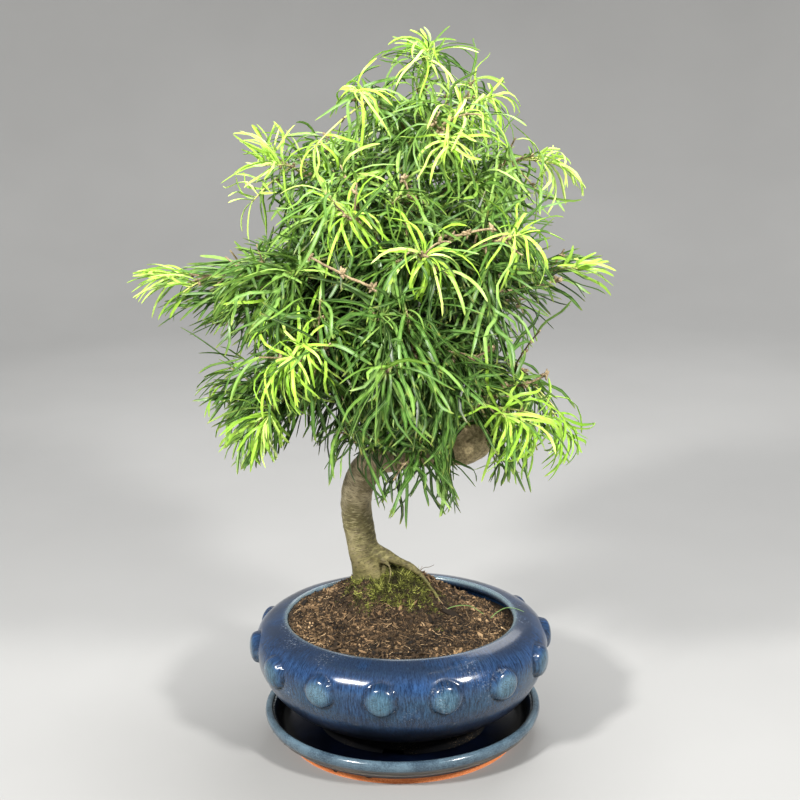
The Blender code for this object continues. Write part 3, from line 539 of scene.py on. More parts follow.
def saucerPaint():
    paint = Paint("saucerGlaze", Coat_Roughness=0.12, Specular_IOR_Level=0.10)
    point, z, bare = paint.point(), paint.height(), paint.value("bare")
    spread = paint.noise(point, 45, 4, 0.6)
    grain = paint.noise(point, 900, 2, 0.6)
    bands = paint.noise(point.stretch(0.5, 0.5, 8.0), 90)
    away = paint.add("ShaderNodeVectorMath", {"operation": "LENGTH"}, [point.stretch(1, 1.105, 0)], 1)
    inside = 1 - away.step(0.1070, 0.1084)
    glazed = bare.step(-0.0002, 0.0004)
    # the basin's floor near black is painted shade under the pot; up the inside wall it turns to the glaze's
    # own dark blue
    basin = paint.mix(spread.step(0.35, 0.7), (1, 2, 7), (3, 7, 20))
    # painted highlight: a broken white line of glints along the lip's inside edge
    rimGlint = z.step(0.0250, 0.0258) * (1 - z.step(0.0266, 0.0274)) * inside
    colour = paint.layers(paint.mix(bands.step(0.38, 0.62), (34, 32, 30), (84, 76, 64)), [
        (1 - z.step(0.0105, 0.0130), paint.mix(bands.step(0.35, 0.65), (24, 42, 54), (50, 72, 84))),
        (z.step(0.0196, 0.0214),
         paint.mix((spread * 0.6 + grain * 0.4).step(0.34, 0.66), (46, 60, 72), (84, 104, 116))),
        (z.step(0.0182, 0.0192) * (1 - z.step(0.0202, 0.0214)) * 0.8, (26, 26, 30)),
        (inside, paint.mix(z.step(0.0170, 0.0260), basin, (26, 50, 76))),
        (rimGlint * grain.step(0.42, 0.58), (196, 204, 204)),
        (glazed * (1 - bare.step(0.0004, 0.0014)) * 0.7, (48, 38, 32)),
    ])
    clay = paint.mix(grain.step(0.35, 0.7), (196, 112, 66), (220, 142, 92))
    clay = paint.mix(spread.step(0.45, 0.7) * 0.4, clay, (166, 92, 56))
    paint.feed(paint.shader.inputs["Coat Weight"], (glazed * 0.7 - inside * 0.58).clamp())
    paint.bump(grain * 0.5 + spread, 0.3, 0.0004)
    rough = 0.85 - glazed * 0.63 + inside * glazed * 0.14 + (grain - 0.5) * 0.10
    return paint.finish(paint.mix(glazed, clay, colour), rough)


buildPot(potPaint())
buildSaucer(saucerPaint())
print("pot and saucer done")


# Soil, chips, crumbs, fibres and moss

soil = {
    "level": 0.0985, "tilt": 0.052, "edgeTop": 0.1056, "moundX": -0.008, "moundY": 0.036,
    "moundRise": 0.0300, "moundRadius": 0.0420, "neck": 0.0281, "hollow": 0.0062,
    "columns": 200, "rows": 72, "seed": 11,
    "chips": 420, "crumbs": 9800, "fibres": 520, "moss": 7000,
    "trunkX": -0.0265, "trunkY": 0.0418, "hollowX": -0.0195, "hollowY": 0.0265,
    "reachX": 0.095, "reachY": 0.082, "slopeStep": 0.0015, "edgeRise": 0.034, "edgeSpan": 0.4,
    "hollowRadius": 0.0115, "mossHollow": 0.010, "trunkClear": 0.0155, "mossClear": 0.0135,
    "mossX": (-0.062, 0.050), "mossY": (-0.025, 0.074), "mossRadius": (0.00022, 0.00040),
    "fibreLength": (0.005, 0.015), "fibreRadius": (0.00011, 0.00024),
    # middle, spread, least and most
    "chipSize": (0.0016, 0.60, 0.0008, 0.0074), "crumbSize": (0.00056, 0.45, 0.0003, 0.0022),
    # height, size and seed
    "lumps": [(0.0015, 0.014, 21), (0.0010, 0.0062, 22), (0.0006, 0.0028, 23)],
    "mossRagged": [(0.26, 0.009, 31), (0.16, 0.0035, 32)],
    # the moss before, left of and behind the trunk, and a spot: thickness, middle and half axes
    "mossPatches": [(1.05, -0.007, 0.025, 0.036, 0.027), (0.65, -0.037, 0.027, 0.024, 0.013),
                    (0.75, -0.026, 0.044, 0.030, 0.024), (0.60, 0.031, -0.011, 0.012, 0.007)],
    "wall": [(0.0566, 0.0296), (0.0277, 0.0412), (0.0132, 0.0594), (0.0092, 0.0800), (0.0150, 0.0890),
             (0.0245, 0.0940)],
}


def hollowBell(x, y, radius):
    # a bell before the trunk's foot, 1 at its middle
    return np.exp(-(np.hypot(x - soil["hollowX"], y - soil["hollowY"]) / radius) ** 2)


def flatWaves(x, y, rows):
    # noises of several sizes added up
    return sum(height * flatNoise(x, y, size, seed) for height, size, seed in rows)


def soilHeight(x, y):
    # tilted level + bell of the mound - hollow before the trunk's foot + lumps at three sizes
    away = np.hypot(x - soil["moundX"], y - soil["moundY"]) / soil["moundRadius"]
    lumps = flatWaves(x, y, soil["lumps"])
    hollow = soil["hollow"] * hollowBell(x, y, soil["hollowRadius"])
    return soil["level"] - soil["tilt"] * x + soil["moundRise"] * np.exp(-away ** 3) - hollow + lumps


def soilTop(x, y):
    # the height held under the pot's lip near its edge
    u, v = turnPlan(x, y, -pot["turn"])
    ring = np.hypot(u / (pot["halfWidth"] - soil["neck"]), v / (pot["halfDepth"] - soil["neck"]))
    ceiling = soil["edgeTop"] + soil["edgeRise"] * np.maximum(0, 1 - ring) / soil["edgeSpan"]
    return np.minimum(soilHeight(x, y), ceiling), ring


def buildSoil(material):
    # rings up the pot's inside, then rings that shrink to the mound's middle at the soil's height
    angle = evenAngles(pot, soil["columns"])
    share = np.linspace(1, 0.012, soil["rows"])[:, None, None]
    middle = np.array([soil["moundX"], soil["moundY"]])
    plan = middle + (ovalPlan(pot, soil["neck"], angle) - middle)[None] * share
    surface = atHeight(plan, soilTop(plan[..., 0], plan[..., 1])[0])
    rings = np.concatenate([ovalRings(pot, np.array(soil["wall"]), angle), surface], axis=0)
    poles = np.array([[0, 0, soil["wall"][0][1]], [*middle, surface[-1, :, 2].mean()]])
    mesh = makeMesh("soil_bed", np.vstack([rings.reshape(-1, 3), poles]), closedFaces(len(rings), len(angle)))
    addPiece(mesh, material, "soil", {}, 75)


def soilPaint():
    paint = Paint("pottingSoil", Specular_IOR_Level=0.25)
    point = paint.point()
    crumb = paint.cells(point, 720)
    lightness = paint.add("ShaderNodeSeparateColor", {}, [paint.cells(point, 720, "Color")], 0)
    lump = paint.noise(point, 240, 4, 0.7)
    grit = paint.noise(point, 1300, 3, 0.7)
    base = paint.ramp(lump, (0.30, (16, 11, 6)), (0.50, (62, 48, 32)), (0.68, (122, 101, 74)))
    base = paint.layers(base, [
        (lightness.step(0.2, 0.9) * 0.4, (94, 75, 52)),
        (paint.noise(point, 46).step(0.50, 0.64) * 0.6, (40, 30, 20)),
        # painted shade: dark gaps between the crumbs
        (crumb.step(0.25, 0.6) * 0.75, (20, 14, 8)),
    ])
    paint.bump(lump * 1.2 - crumb * 0.8 + grit * 0.5, 0.9, 0.0012)
    return paint.finish(base, 0.88 + (grit - 0.5) * 0.15)


def onSoil(count, draw, keep):
    # random places on the soil, where keep(x, y) allows, with the surface's normal there
    x, y = (draw.uniform(-soil[key], soil[key], 8 * count) for key in ("reachX", "reachY"))
    z, ring = soilTop(x, y)
    good = np.flatnonzero((ring < 0.985) & keep(x, y))[:count]
    x, y, z = x[good], y[good], z[good]
    step = soil["slopeStep"]
    slopeX = (soilTop(x + step, y)[0] - soilTop(x - step, y)[0]) / (2 * step)
    slopeY = (soilTop(x, y + step)[0] - soilTop(x, y - step)[0]) / (2 * step)
    normal = unit(np.stack([-slopeX, -slopeY, np.ones_like(x)], axis=1))
    return np.stack([x, y, z], axis=1), normal


def turnedAxes(normal, draw, lean):
    # three axes for each copy: one near the normal, leaned at random, and two square to it
    lift = unit(normal + lean * draw.normal(size=normal.shape))
    side = unit(np.cross(lift, unit(draw.normal(size=normal.shape))))
    return np.stack([side, np.cross(lift, side), lift], axis=1)


def scatter(template, place, axes, size):
    # place + (template point x size) turned into the copy's axes
    return place[:, None] + np.einsum("nvk,nkj->nvj", template * size[:, None], axes)


def fromTrunk(x, y):
    return np.hypot(x - soil["trunkX"], y - soil["trunkY"])


def openSoil(x, y):
    # off the trunk, and thinned out where moss grows
    mossy = mossShare(x, y) >= 0.14 + 0.25 * flatNoise(x, y, 0.004, 37)
    return (fromTrunk(x, y) > soil["trunkClear"]) & ~mossy


def grainSizes(draw, count, middle, spread, least, most):
    return np.exp(draw.normal(math.log(middle), spread, count)).clip(least, most)


def buildChips(material):
    # flat bent slivers with a chisel end
    draw = np.random.RandomState(soil["seed"])
    place, normal = onSoil(soil["chips"], draw, openSoil)
    count = len(place)
    width = np.array([0.45, 1.0, 0.85, 0.25])
    corner = np.array([(-1, -1), (1, -1), (1, 1), (-1, 1)])
    template = np.stack([np.repeat([-1.0, -0.35, 0.4, 1.0], 4), np.outer(width, corner[:, 0]).ravel(),
                         np.outer(0.4 + 0.6 * width, corner[:, 1]).ravel()], axis=1)
    template = template + 0.16 * draw.normal(size=(count, 16, 3))
    long = grainSizes(draw, count, *soil["chipSize"])
    broad, thick = long * draw.uniform(0.16, 0.40, count), long * draw.uniform(0.08, 0.2, count)
    size = np.stack([long, broad, thick], axis=1)
    points = scatter(template, place + normal * 0.0005, turnedAxes(normal, draw, 0.35), size)
    faces = np.vstack([gridQuads(4, 4), [[3, 2, 1, 0], [12, 13, 14, 15]]])
    addGrains("bark_chips", points, faces, draw.beta(1.3, 3.4, count), material, 30)
    buildCrumbs(draw, material)


def buildCrumbs(draw, material):
    # uneven eight-sided grains, in paler and darker clumps
    place, normal = onSoil(soil["crumbs"], draw, openSoil)
    count = len(place)
    grain = np.array([(1, 0, 0), (0, 1, 0), (-1, 0, 0), (0, -1, 0), (0, 0, 1), (0, 0, -1)], dtype=float)
    template = grain + 0.28 * draw.normal(size=(count, 6, 3))
    radius = grainSizes(draw, count, *soil["crumbSize"])[:, None]
    size = radius * draw.uniform(0.7, 1.5, (count, 3))
    points = scatter(template, place + normal * radius * 0.3, turnedAxes(normal, draw, 0.9), size)
    faces = np.vstack([poleFan(0, 4, 4, False), poleFan(0, 4, 5, True)])
    shade = draw.beta(1.6, 3.0, count) * 0.88 + 0.26 * noise(place, 0.016, 24)
    addGrains("soil_crumbs", points, faces, np.clip(shade, 0, 1), material, 75)


def addGrains(name, points, faces, shade, material, crease):
    # one piece of many equal small shapes, each with its own tone
    count, step = points.shape[:2]
    mesh = makeMesh(name, points, [copyFaces(faces, count, step)])
    addPiece(mesh, material, None, {"tone": np.repeat(shade, step)}, crease)


def chipPaint():
    paint = Paint("barkChip", Specular_IOR_Level=0.3)
    grain = paint.noise(paint.point(), 1400, 3, 0.7)
    colour = paint.ramp((paint.value("tone") * 0.85 + grain * 0.3 - 0.08).clamp(), (0.08, (14, 9, 5)),
                        (0.36, (62, 47, 30)), (0.62, (130, 104, 74)), (0.95, (196, 168, 128)))
    paint.bump(grain, 0.5, 0.0004)
    return paint.finish(colour, 0.75 + grain * 0.2)


def tubes(paths, radii, sides):
    # rings r (cos f u + sin f w) round each path point, with u and w square to the path,
    # and a point on the path's line at both ends; paths is tubes x points x 3
    count, length = paths.shape[:2]
    padded = np.concatenate([paths[:, :1], paths, paths[:, -1:]], axis=1)
    ahead = unit(padded[:, 2:] - padded[:, :-2])
    mean = unit(ahead.mean(axis=1))
    reference = np.where(np.abs(mean[:, 2:]) > 0.75, np.array([1.0, 0.2, 0.0]), up)
    u = unit(np.cross(reference[:, None], ahead))
    w = np.cross(ahead, u)
    turn = np.arange(sides) * 2 * math.pi / sides
    spoke = around(turn[:, None], u[:, :, None], w[:, :, None])
    rings = (paths[:, :, None] + radii[:, :, None, None] * spoke).reshape(count, -1, 3)
    first = paths[:, :1] - 0.4 * radii[:, :1, None] * ahead[:, :1]
    last = paths[:, -1:] + 0.8 * radii[:, -1:, None] * ahead[:, -1:]
    points = np.concatenate([rings, first, last], axis=1)
    return points, [copyFaces(block, count, length * sides + 2) for block in closedFaces(length, sides)]


def joinParts(parts):
    # the points and faces of several tubes in one mesh's lists
    faces, offset = [], 0
    for points, blocks in parts:
        faces += [block + offset for block in blocks]
        offset += points.shape[0] * points.shape[1]
    return np.vstack([points.reshape(-1, 3) for points, _ in parts]), faces


def buildFibres(material):
    # thin coir strands: an arc in the surface plus a random wave, lifted a little at its ends
    draw = np.random.RandomState(soil["seed"] + 1)
    place, normal = onSoil(soil["fibres"], draw, openSoil)
    count = len(place)
    axes = turnedAxes(normal, draw, 0.2)
    t = np.linspace(-0.5, 0.5, 7)[None, :, None]
    length = draw.uniform(*soil["fibreLength"], (count, 1, 1))
    bend = draw.normal(0, 0.45, (count, 1, 1))
    lift = draw.uniform(0.0, 0.30, (count, 1, 1))
    along, across, above = axes[:, None, 0], axes[:, None, 1], axes[:, None, 2]
    wave = 0.05 * draw.normal(size=(count, 7, 3))
    paths = place[:, None] + length * (t * along + bend * (t ** 2 - 0.08) * across
                                       + (lift * t ** 2 + 0.03) * above + wave * 0.6)
    paths[..., 2] = np.maximum(paths[..., 2], place[:, None, 2] - 0.0006)
    radii = draw.uniform(*soil["fibreRadius"], (count, 1)) * np.ones((count, 7))
    points, faces = tubes(paths, radii, 3)
    values = {"tone": np.repeat(draw.beta(2.2, 1.8, count), points.shape[1])}
    addPiece(makeMesh("soil_fibres", points, faces), material, None, values, 75)


def mossShare(x, y):
    # the thickest patch at each place, with a ragged edge
    patches = [thick - np.hypot((x - middleX) / halfX, (y - middleY) / halfY)
               for thick, middleX, middleY, halfX, halfY in soil["mossPatches"]]
    return np.max(patches, axis=0) + flatWaves(x, y, soil["mossRagged"])


def buildMoss(material):
    # curved three-sided spikes, thick on the cushion and sparse where it thins out: a base ring,
    # a ring half way and a tip, all on place + height (t way + t^2/2 bend)
    draw = np.random.RandomState(soil["seed"] + 2)
    chance = draw.uniform(-0.05, 0.50, 40 * soil["moss"])
    x = draw.uniform(*soil["mossX"], len(chance))
    y = draw.uniform(*soil["mossY"], len(chance))
    z, ring = soilTop(x, y)
    good = (mossShare(x, y) > chance) & (fromTrunk(x, y) > soil["mossClear"]) & (ring < 0.98)
    place = np.stack([x, y, z - 0.0004], axis=1)[np.flatnonzero(good)[:soil["moss"]]]
    x, y, count = place[:, 0], place[:, 1], len(place)
    clump = noise(place, 0.0042, 41)
    thick = smoothStep(mossShare(x, y), 0.0, 0.6)
    height = (0.0016 + 0.0016 * thick) * draw.uniform(0.55, 1.6, count) * (1 + 0.6 * clump)
    height = height * (1 - 0.5 * hollowBell(x, y, soil["mossHollow"]))
    away = unit(np.stack([x - soil["moundX"], y - soil["moundY"], 0.020 + 0 * clump], axis=1))
    way = unit(away + 0.75 * draw.normal(size=(count, 3)))
    bend = 0.7 * draw.normal(size=(count, 3))
    t = np.array([0.0, 0.55, 1.0])[None, :, None]
    line = place[:, None] + height[:, None, None] * (t * way[:, None] + 0.5 * t ** 2 * bend[:, None])
    side = unit(np.cross(way, unit(draw.normal(size=(count, 3)))))
    turn = np.arange(3)[:, None] * 2 * math.pi / 3
    spoke = around(turn, side[:, None], np.cross(way, side)[:, None])
    radius = draw.uniform(*soil["mossRadius"], (count, 1, 1))
    points = np.concatenate([line[:, :1] + 0.8 * radius * spoke, line[:, 1:2] + radius * spoke, line[:, 2:]],
                            axis=1)
    faces = [gridQuads(2, 3), poleFan(3, 3, 6, False), np.array([[2, 1, 0]])]
    shade = np.clip(0.38 + 0.60 * clump + 0.22 * draw.normal(size=count), 0, 1)
    values = {"tone": np.repeat(shade, 7), "tip": np.tile([0.0, 0.0, 0.0, 0.55, 0.55, 0.55, 1.0], count)}
    mesh = makeMesh("moss_cushion", points, [copyFaces(block, count, 7) for block in faces])
    addPiece(mesh, material, None, values, 75)


def mossPaint():
    paint = Paint("moss", Specular_IOR_Level=0.3)
    shade = (paint.value("tone") * 0.8 + paint.value("tip") * 0.25 - 0.05).clamp()
    colour = paint.ramp(shade, (0.0, (24, 20, 8)), (0.35, (58, 58, 22)), (0.7, (106, 110, 44)),
                        (1.0, (184, 186, 98)))
    return paint.finish(colour, 0.8)


buildSoil(soilPaint())
chip = chipPaint()
buildChips(chip)
buildFibres(chip)
buildMoss(mossPaint())
print("soil done")


# Trunk and roots

trunk = {
    "line": [
        (-26, 42, 60, 13), (-26, 42, 88, 16), (-26, 42, 112, 17.5), (-27, 42, 124, 15.5),
        (-30, 41, 138, 13.8), (-34, 41, 154, 13), (-37, 38, 181, 13), (-34, 32, 206, 13),
        (-22, 24, 228, 12.8), (1, 13, 238, 12), (26, 3, 245, 11.8), (44, -4, 250, 13.5),
        (58, -4, 254, 16), (62, 0, 266, 16), (56, 8, 279, 13.5), (42, 14, 288, 11.5),
        (22, 18, 295, 10.5), (7, 20, 308, 10), (0, 20, 330, 9.2), (-1, 18, 366, 8),
        (3, 15, 402, 7), (9, 12, 444, 5.6), (15, 10, 478, 4.2), (22, 10, 503, 3.2),
        (24, 10, 514, 2.8),
    ],
    "roots": [
        [(-27, 39, 143, 9.2), (-15, 37, 141.5, 7.4), (-4, 35.5, 138, 5.0), (8, 32.5, 133, 3.7),
         (16, 29.5, 127, 3.0), (23, 27, 119, 2.5), (29, 24, 111, 2.2), (34, 20, 99, 1.8)],
        [(-29, 45, 127, 8), (-32, 55, 118, 5.5), (-34, 62, 107, 4.2), (-35, 67, 93, 3.4)],
        [(-20, 35, 139, 3.0), (-12, 26.5, 139.5, 2.2), (-8.5, 20.5, 134, 1.8), (-10, 18.5, 127, 1.6),
         (-14, 19, 117, 1.5)],
    ],
    # pruning scars: foot, end and radius
    "scars": [((-1, 12, 352), (-6, -10, 356), 3.2), ((4, 12, 412), (8, -6, 417), 3.4),
              ((50, -10, 262), (52, -19, 272), 4.5), ((66, 2, 262), (79, 2, 268), 5.0),
              ((8, 14, 240), (7, 8, 251), 3.6), ((-36, 30, 190), (-42, 22, 196), 3.2)],
    "upperBottom": 0.2880, "voxel": 0.00138, "cadRings": 32, "knobRise": 0.0016,
}
cadTrunk = smoothLine(trunk["line"], trunk["cadRings"]) * mm
fineTrunk = smoothLine(trunk["line"], 240) * mm

branches = [
    (514, (29, 9, 541)),
    (492, (-18, -6, 522)), (484, (60, 26, 520)), (468, (52, -46, 512)), (476, (12, 56, 510)),
    (430, (106, 2, 478)), (420, (-60, 58, 482)), (408, (-86, 16, 476)),
    (400, (-24, -104, 452)), (386, (34, -128, 428)),
    (378, (90, -64, 428)), (392, (80, 104, 428)), (382, (-72, 114, 422)),
    (372, (8, 138, 396)), (364, (-106, -60, 400)), (362, (130, 18, 386)),
    (356, (-156, 2, 390)), (350, (-114, 72, 378)),
    (340, (26, -120, 350)), (334, (-60, -110, 350)), (338, (104, 84, 350)),
    (328, (-64, 104, 330)), (322, (104, 8, 310)), (318, (-100, -32, 290)),
    (316, (36, 110, 316)), (312, (84, -74, 300)), (306, (-26, -66, 276)), (298, (22, -70, 264)),
]
branch = {
    "rootRadius": 0.0017, "rootGrowth": 0.0100, "lift": 0.12, "bend": 0.5, "taper": 0.8,
    "tipRadius": 0.0009, "stub": 0.0025, "span": 0.0060, "gap": 0.0003,
}


def branchPlan(k):
    # stub start and end, the branch's root radius and its three control points, as the solids have them
    height, tip = branches[k]
    tip = np.array(tip) * mm
    points, radii = cadTrunk[:, :3], cadTrunk[:, 3]
    if k == 0:
        start, stubEnd, rootRadius = points[-1], points[-1], radii[-1]
        heading = unit(points[-1] - points[-2])
    else:
        upper = points[:, 2] >= trunk["upperBottom"]
        z = points[upper, 2]
        levels = (height * mm, height * mm + branch["span"], height * mm - branch["span"])
        start, ahead, behind = (np.array([np.interp(level, z, points[upper, n]) for n in range(3)])
                                for level in levels)
        reach = np.linalg.norm(tip - start)
        rootRadius = branch["rootRadius"] + branch["rootGrowth"] * reach
        heading = unit(tip - start + branch["lift"] * reach * up)
        along = abs(float(heading @ unit(ahead - behind)))
        width = float(np.interp(height * mm, z, radii[upper])) + rootRadius * along
        stubEnd = start + (width / math.sqrt(1 - along * along) + branch["stub"]) * heading
    root = stubEnd + branch["gap"] * heading
    bend = root + branch["bend"] * np.linalg.norm(tip - root) * heading
    return start, stubEnd, rootRadius, root, bend, tip


plans = [branchPlan(k) for k in range(len(branches))]


def trunkTubes():
    # tubes round the trunk, its roots, its stubs and its pruning scars
    parts = [tubes(fineTrunk[None, :, :3], fineTrunk[None, :, 3], 20)]
    for row in trunk["roots"]:
        root = smoothLine(row, 40) * mm
        wobble = 1 + 0.10 * noise(root[:, :3], 0.007, 51)
        wobble = wobble * (1 - 0.24 * smoothStep(np.linspace(0, 1, 40), 0.1, 0.4))
        parts.append(tubes(root[None, :, :3], (root[:, 3] * wobble)[None], 12))
    for start, stubEnd, rootRadius, *_ in plans[1:]:
        share = np.linspace(0, 1, 6)[:, None]
        flare = (1.0 + 0.5 * (1 - share[:, 0]) ** 2) * rootRadius
        parts.append(tubes((start + share * (stubEnd - start))[None], flare[None], 10))
    for low, high, radius in trunk["scars"]:
        share = np.linspace(0, 1, 5)[:, None]
        path = (np.array(low) + share * (np.array(high) - np.array(low))) * mm
        parts.append(tubes(path[None], radius * mm * np.array([[1.35, 1.15, 1.0, 0.95, 0.8]]), 10))
    return joinParts(parts)


def oneSkin(points, faces):
    # the tubes remeshed into one closed skin and softened
    rough = addObject("trunkTubes", makeMesh("trunkTubes", points, faces))
    remesh = rough.modifiers.new("skin", "REMESH")
    remesh.mode = "VOXEL"
    remesh.voxel_size = trunk["voxel"]
    soften = rough.modifiers.new("soften", "SMOOTH")
    soften.factor = 0.5
    soften.iterations = 7
    skin = bpy.data.meshes.new_from_object(rough.evaluated_get(bpy.context.evaluated_depsgraph_get()))
    bpy.data.objects.remove(rough, do_unlink=True)
    skin.name = "trunk_wood"
    return skin


def readVectors(skin, name):
    flat = np.empty(3 * len(skin.vertices), dtype=np.float32)
    skin.vertices.foreach_get(name, flat)
    return flat.reshape(-1, 3).astype(float)


def buildTrunk(material):
    # the skin, given lumps, rings, grain and a knobbly elbow along its normals
    skin = oneSkin(*trunkTubes())
    points, normals = readVectors(skin, "co"), readVectors(skin, "normal")
    nearest = nearestOnTrunk(points)
    offset = points - fineTrunk[nearest, :3]
    ahead = unit(np.gradient(fineTrunk[:, :3], axis=0))[nearest]
    along = runLength(fineTrunk[:, :3])[nearest] + np.sum(offset * ahead, axis=1)
    bark = np.stack([offset[:, 0] + offset[:, 2] * 0.5, offset[:, 1], along], axis=1)
    lump = 0.00085 * noise(points, 0.017, 52) + 0.0004 * noise(points, 0.007, 53)
    rings = 0.00020 * noise(bark * np.array([1, 1, 4.5]), 0.0075, 54)
    rings += 0.00014 * noise(bark * np.array([1, 1, 5.5]), 0.0036, 55)
    grain = 0.00010 * noise(points, 0.0022, 56)
    knob = smoothStep(along, 0.236, 0.262) * (1 - smoothStep(along, 0.318, 0.338))
    relief = lump + rings * (1 - knob) + grain + trunk["knobRise"] * knob * noise(points, 0.011, 57)
    points += (relief * smoothStep(points[:, 2], 0.092, 0.100))[:, None] * normals
    skin.vertices.foreach_set("co", points.astype(np.float32).reshape(-1))
    addPiece(skin, material, "trunk", {"along": along, "bark": bark})


def nearestOnTrunk(points):
    # the number of the closest centre-line sample, found block by block to spare memory
    found = [np.argmin(np.sum((block[:, None] - fineTrunk[None, :, :3]) ** 2, axis=-1), axis=1)
             for block in np.array_split(points, max(1, len(points) // 8000))]
    return np.concatenate(found)


def trunkPaint():
    paint = Paint("larchBark", Specular_IOR_Level=0.35)
    point, z = paint.point(), paint.height()
    bark, along = paint.value("bark", "Vector"), paint.value("along")
    broad = paint.noise(point, 42, 3, 0.55)
    scale = paint.noise(bark.stretch(1, 1, 2.6), 170, 3, 0.6)
    dash = paint.noise(bark.stretch(1, 1, 6.0), 260, 3, 0.65)
    rough = paint.noise(point, 380, 4, 0.7)
    grit = paint.noise(point, 1300, 2, 0.6)
    knot = along.step(0.232, 0.250) * (1 - along.step(0.322, 0.340))
    # the foot of the trunk is darker: partly dirt, partly painted shade
    low = 1 - (z + (broad - 0.5) * 0.024).step(0.130, 0.200)
    mossy = (1 - (z + (scale - 0.5) * 0.030).step(0.116, 0.136)) * grit.step(0.35, 0.6)
    base = paint.layers(paint.mix(broad.step(0.35, 0.65), (122, 112, 80), (198, 184, 148)), [
        (scale.step(0.50, 0.66) * 0.55, (226, 212, 174)),
        (dash.step(0.52, 0.60) * 0.62, (74, 64, 38)),
        ((1 - z.step(0.140, 0.215)) * scale.step(0.30, 0.62) * 0.45, (150, 150, 80)),
        (along.step(0.118, 0.220) * (broad * 0.5 + scale * 0.5).step(0.36, 0.58) * 0.62,
         paint.mix(scale, (84, 64, 44), (150, 122, 88))),
        (knot * 0.85, paint.mix(rough.step(0.28, 0.72), (122, 106, 74), (222, 202, 154))),
    ])
    # darkens the trunk's foot: partly dirt, partly painted shade
    base = paint.mix(low, base, paint.mix(scale, (118, 116, 100), (172, 168, 150)), "MULTIPLY")
    lengthwise = (scale * 0.8 - dash.step(0.54, 0.66) * 0.7) * (1 - knot)
    paint.bump(lengthwise + rough * knot * 0.9 + grit * 0.25, 0.7, 0.0007)
    return paint.finish(paint.mix(mossy * 0.8, base, (84, 88, 30)), 0.66 + (scale - 0.5) * 0.3)


buildTrunk(trunkPaint())
print("trunk done")


# Shoots, spurs and leaves

crown = {
    "seed": 71, "mainPoints": 14, "sidePoints": 8,
    "sideEvery": 0.0175, "sideFrom": 0.14, "sideLength": (0.026, 0.048),
    "spurEvery": 0.0145, "spurFrom": 0.06, "sideSpurEvery": 0.0175, "spurLength": 0.0034,
    "spurLeaves": (12, 20), "shootLeaves": (14, 22), "shootFrom": 0.36, "freshSpan": 0.026,
    "freshLeaves": (12, 19), "namedLeaves": 7, "freshAge": 0.55, "barrelRadius": (0.0010, 0.0014),
    "barrel": [(-0.35, 0.75), (0.15, 0.85), (0.4, 1.15), (0.62, 0.95), (0.82, 1.2), (1.0, 0.8)],
    "boxGap": 0.0020, "topGap": 0.0010, "sweep": 0.12, "freshKeep": 0.38, "matureKeep": 0.62,
    # trimming against the outline: the lengths tried, and the shares of the blades that may stay in
    # an open place, before a whorl, and past this share of the outline at the crown's edge
    "lengths": (0.4, 0.55, 0.7, 0.85, 1.0), "openKeep": 0.20, "whorlKeep": 0.12, "edgeKeep": 0.62,
    "edgeShare": 0.74, "edgeRise": 0.016,
}
leaf = {
    "stations": (0, 0.08, 0.20, 0.35, 0.51, 0.67, 0.82, 0.95, 1),
    "width": 0.0027, "thickness": 0.0005, "wave": 0.36,
    "matureLength": (0.040, 0.063), "youngLength": (0.030, 0.047),
    "matureBend": (0.35, 1.65), "youngBend": (1.0, 2.9),
}
# how far each branch's side shoots reach, as a share of the usual length
sideReach = [0.45, 0.7, 0.6, 0.8, 0.8, 0.7, 0.6, 0.8, 1.0, 1.0, 1.0, 0.9, 1.0, 1.0,
             0.9, 0.6, 0.7, 0.9, 1.0, 1.0, 0.5, 1.0, 0.7, 1.0, 1.0, 1.1, 0.8, 0.8]
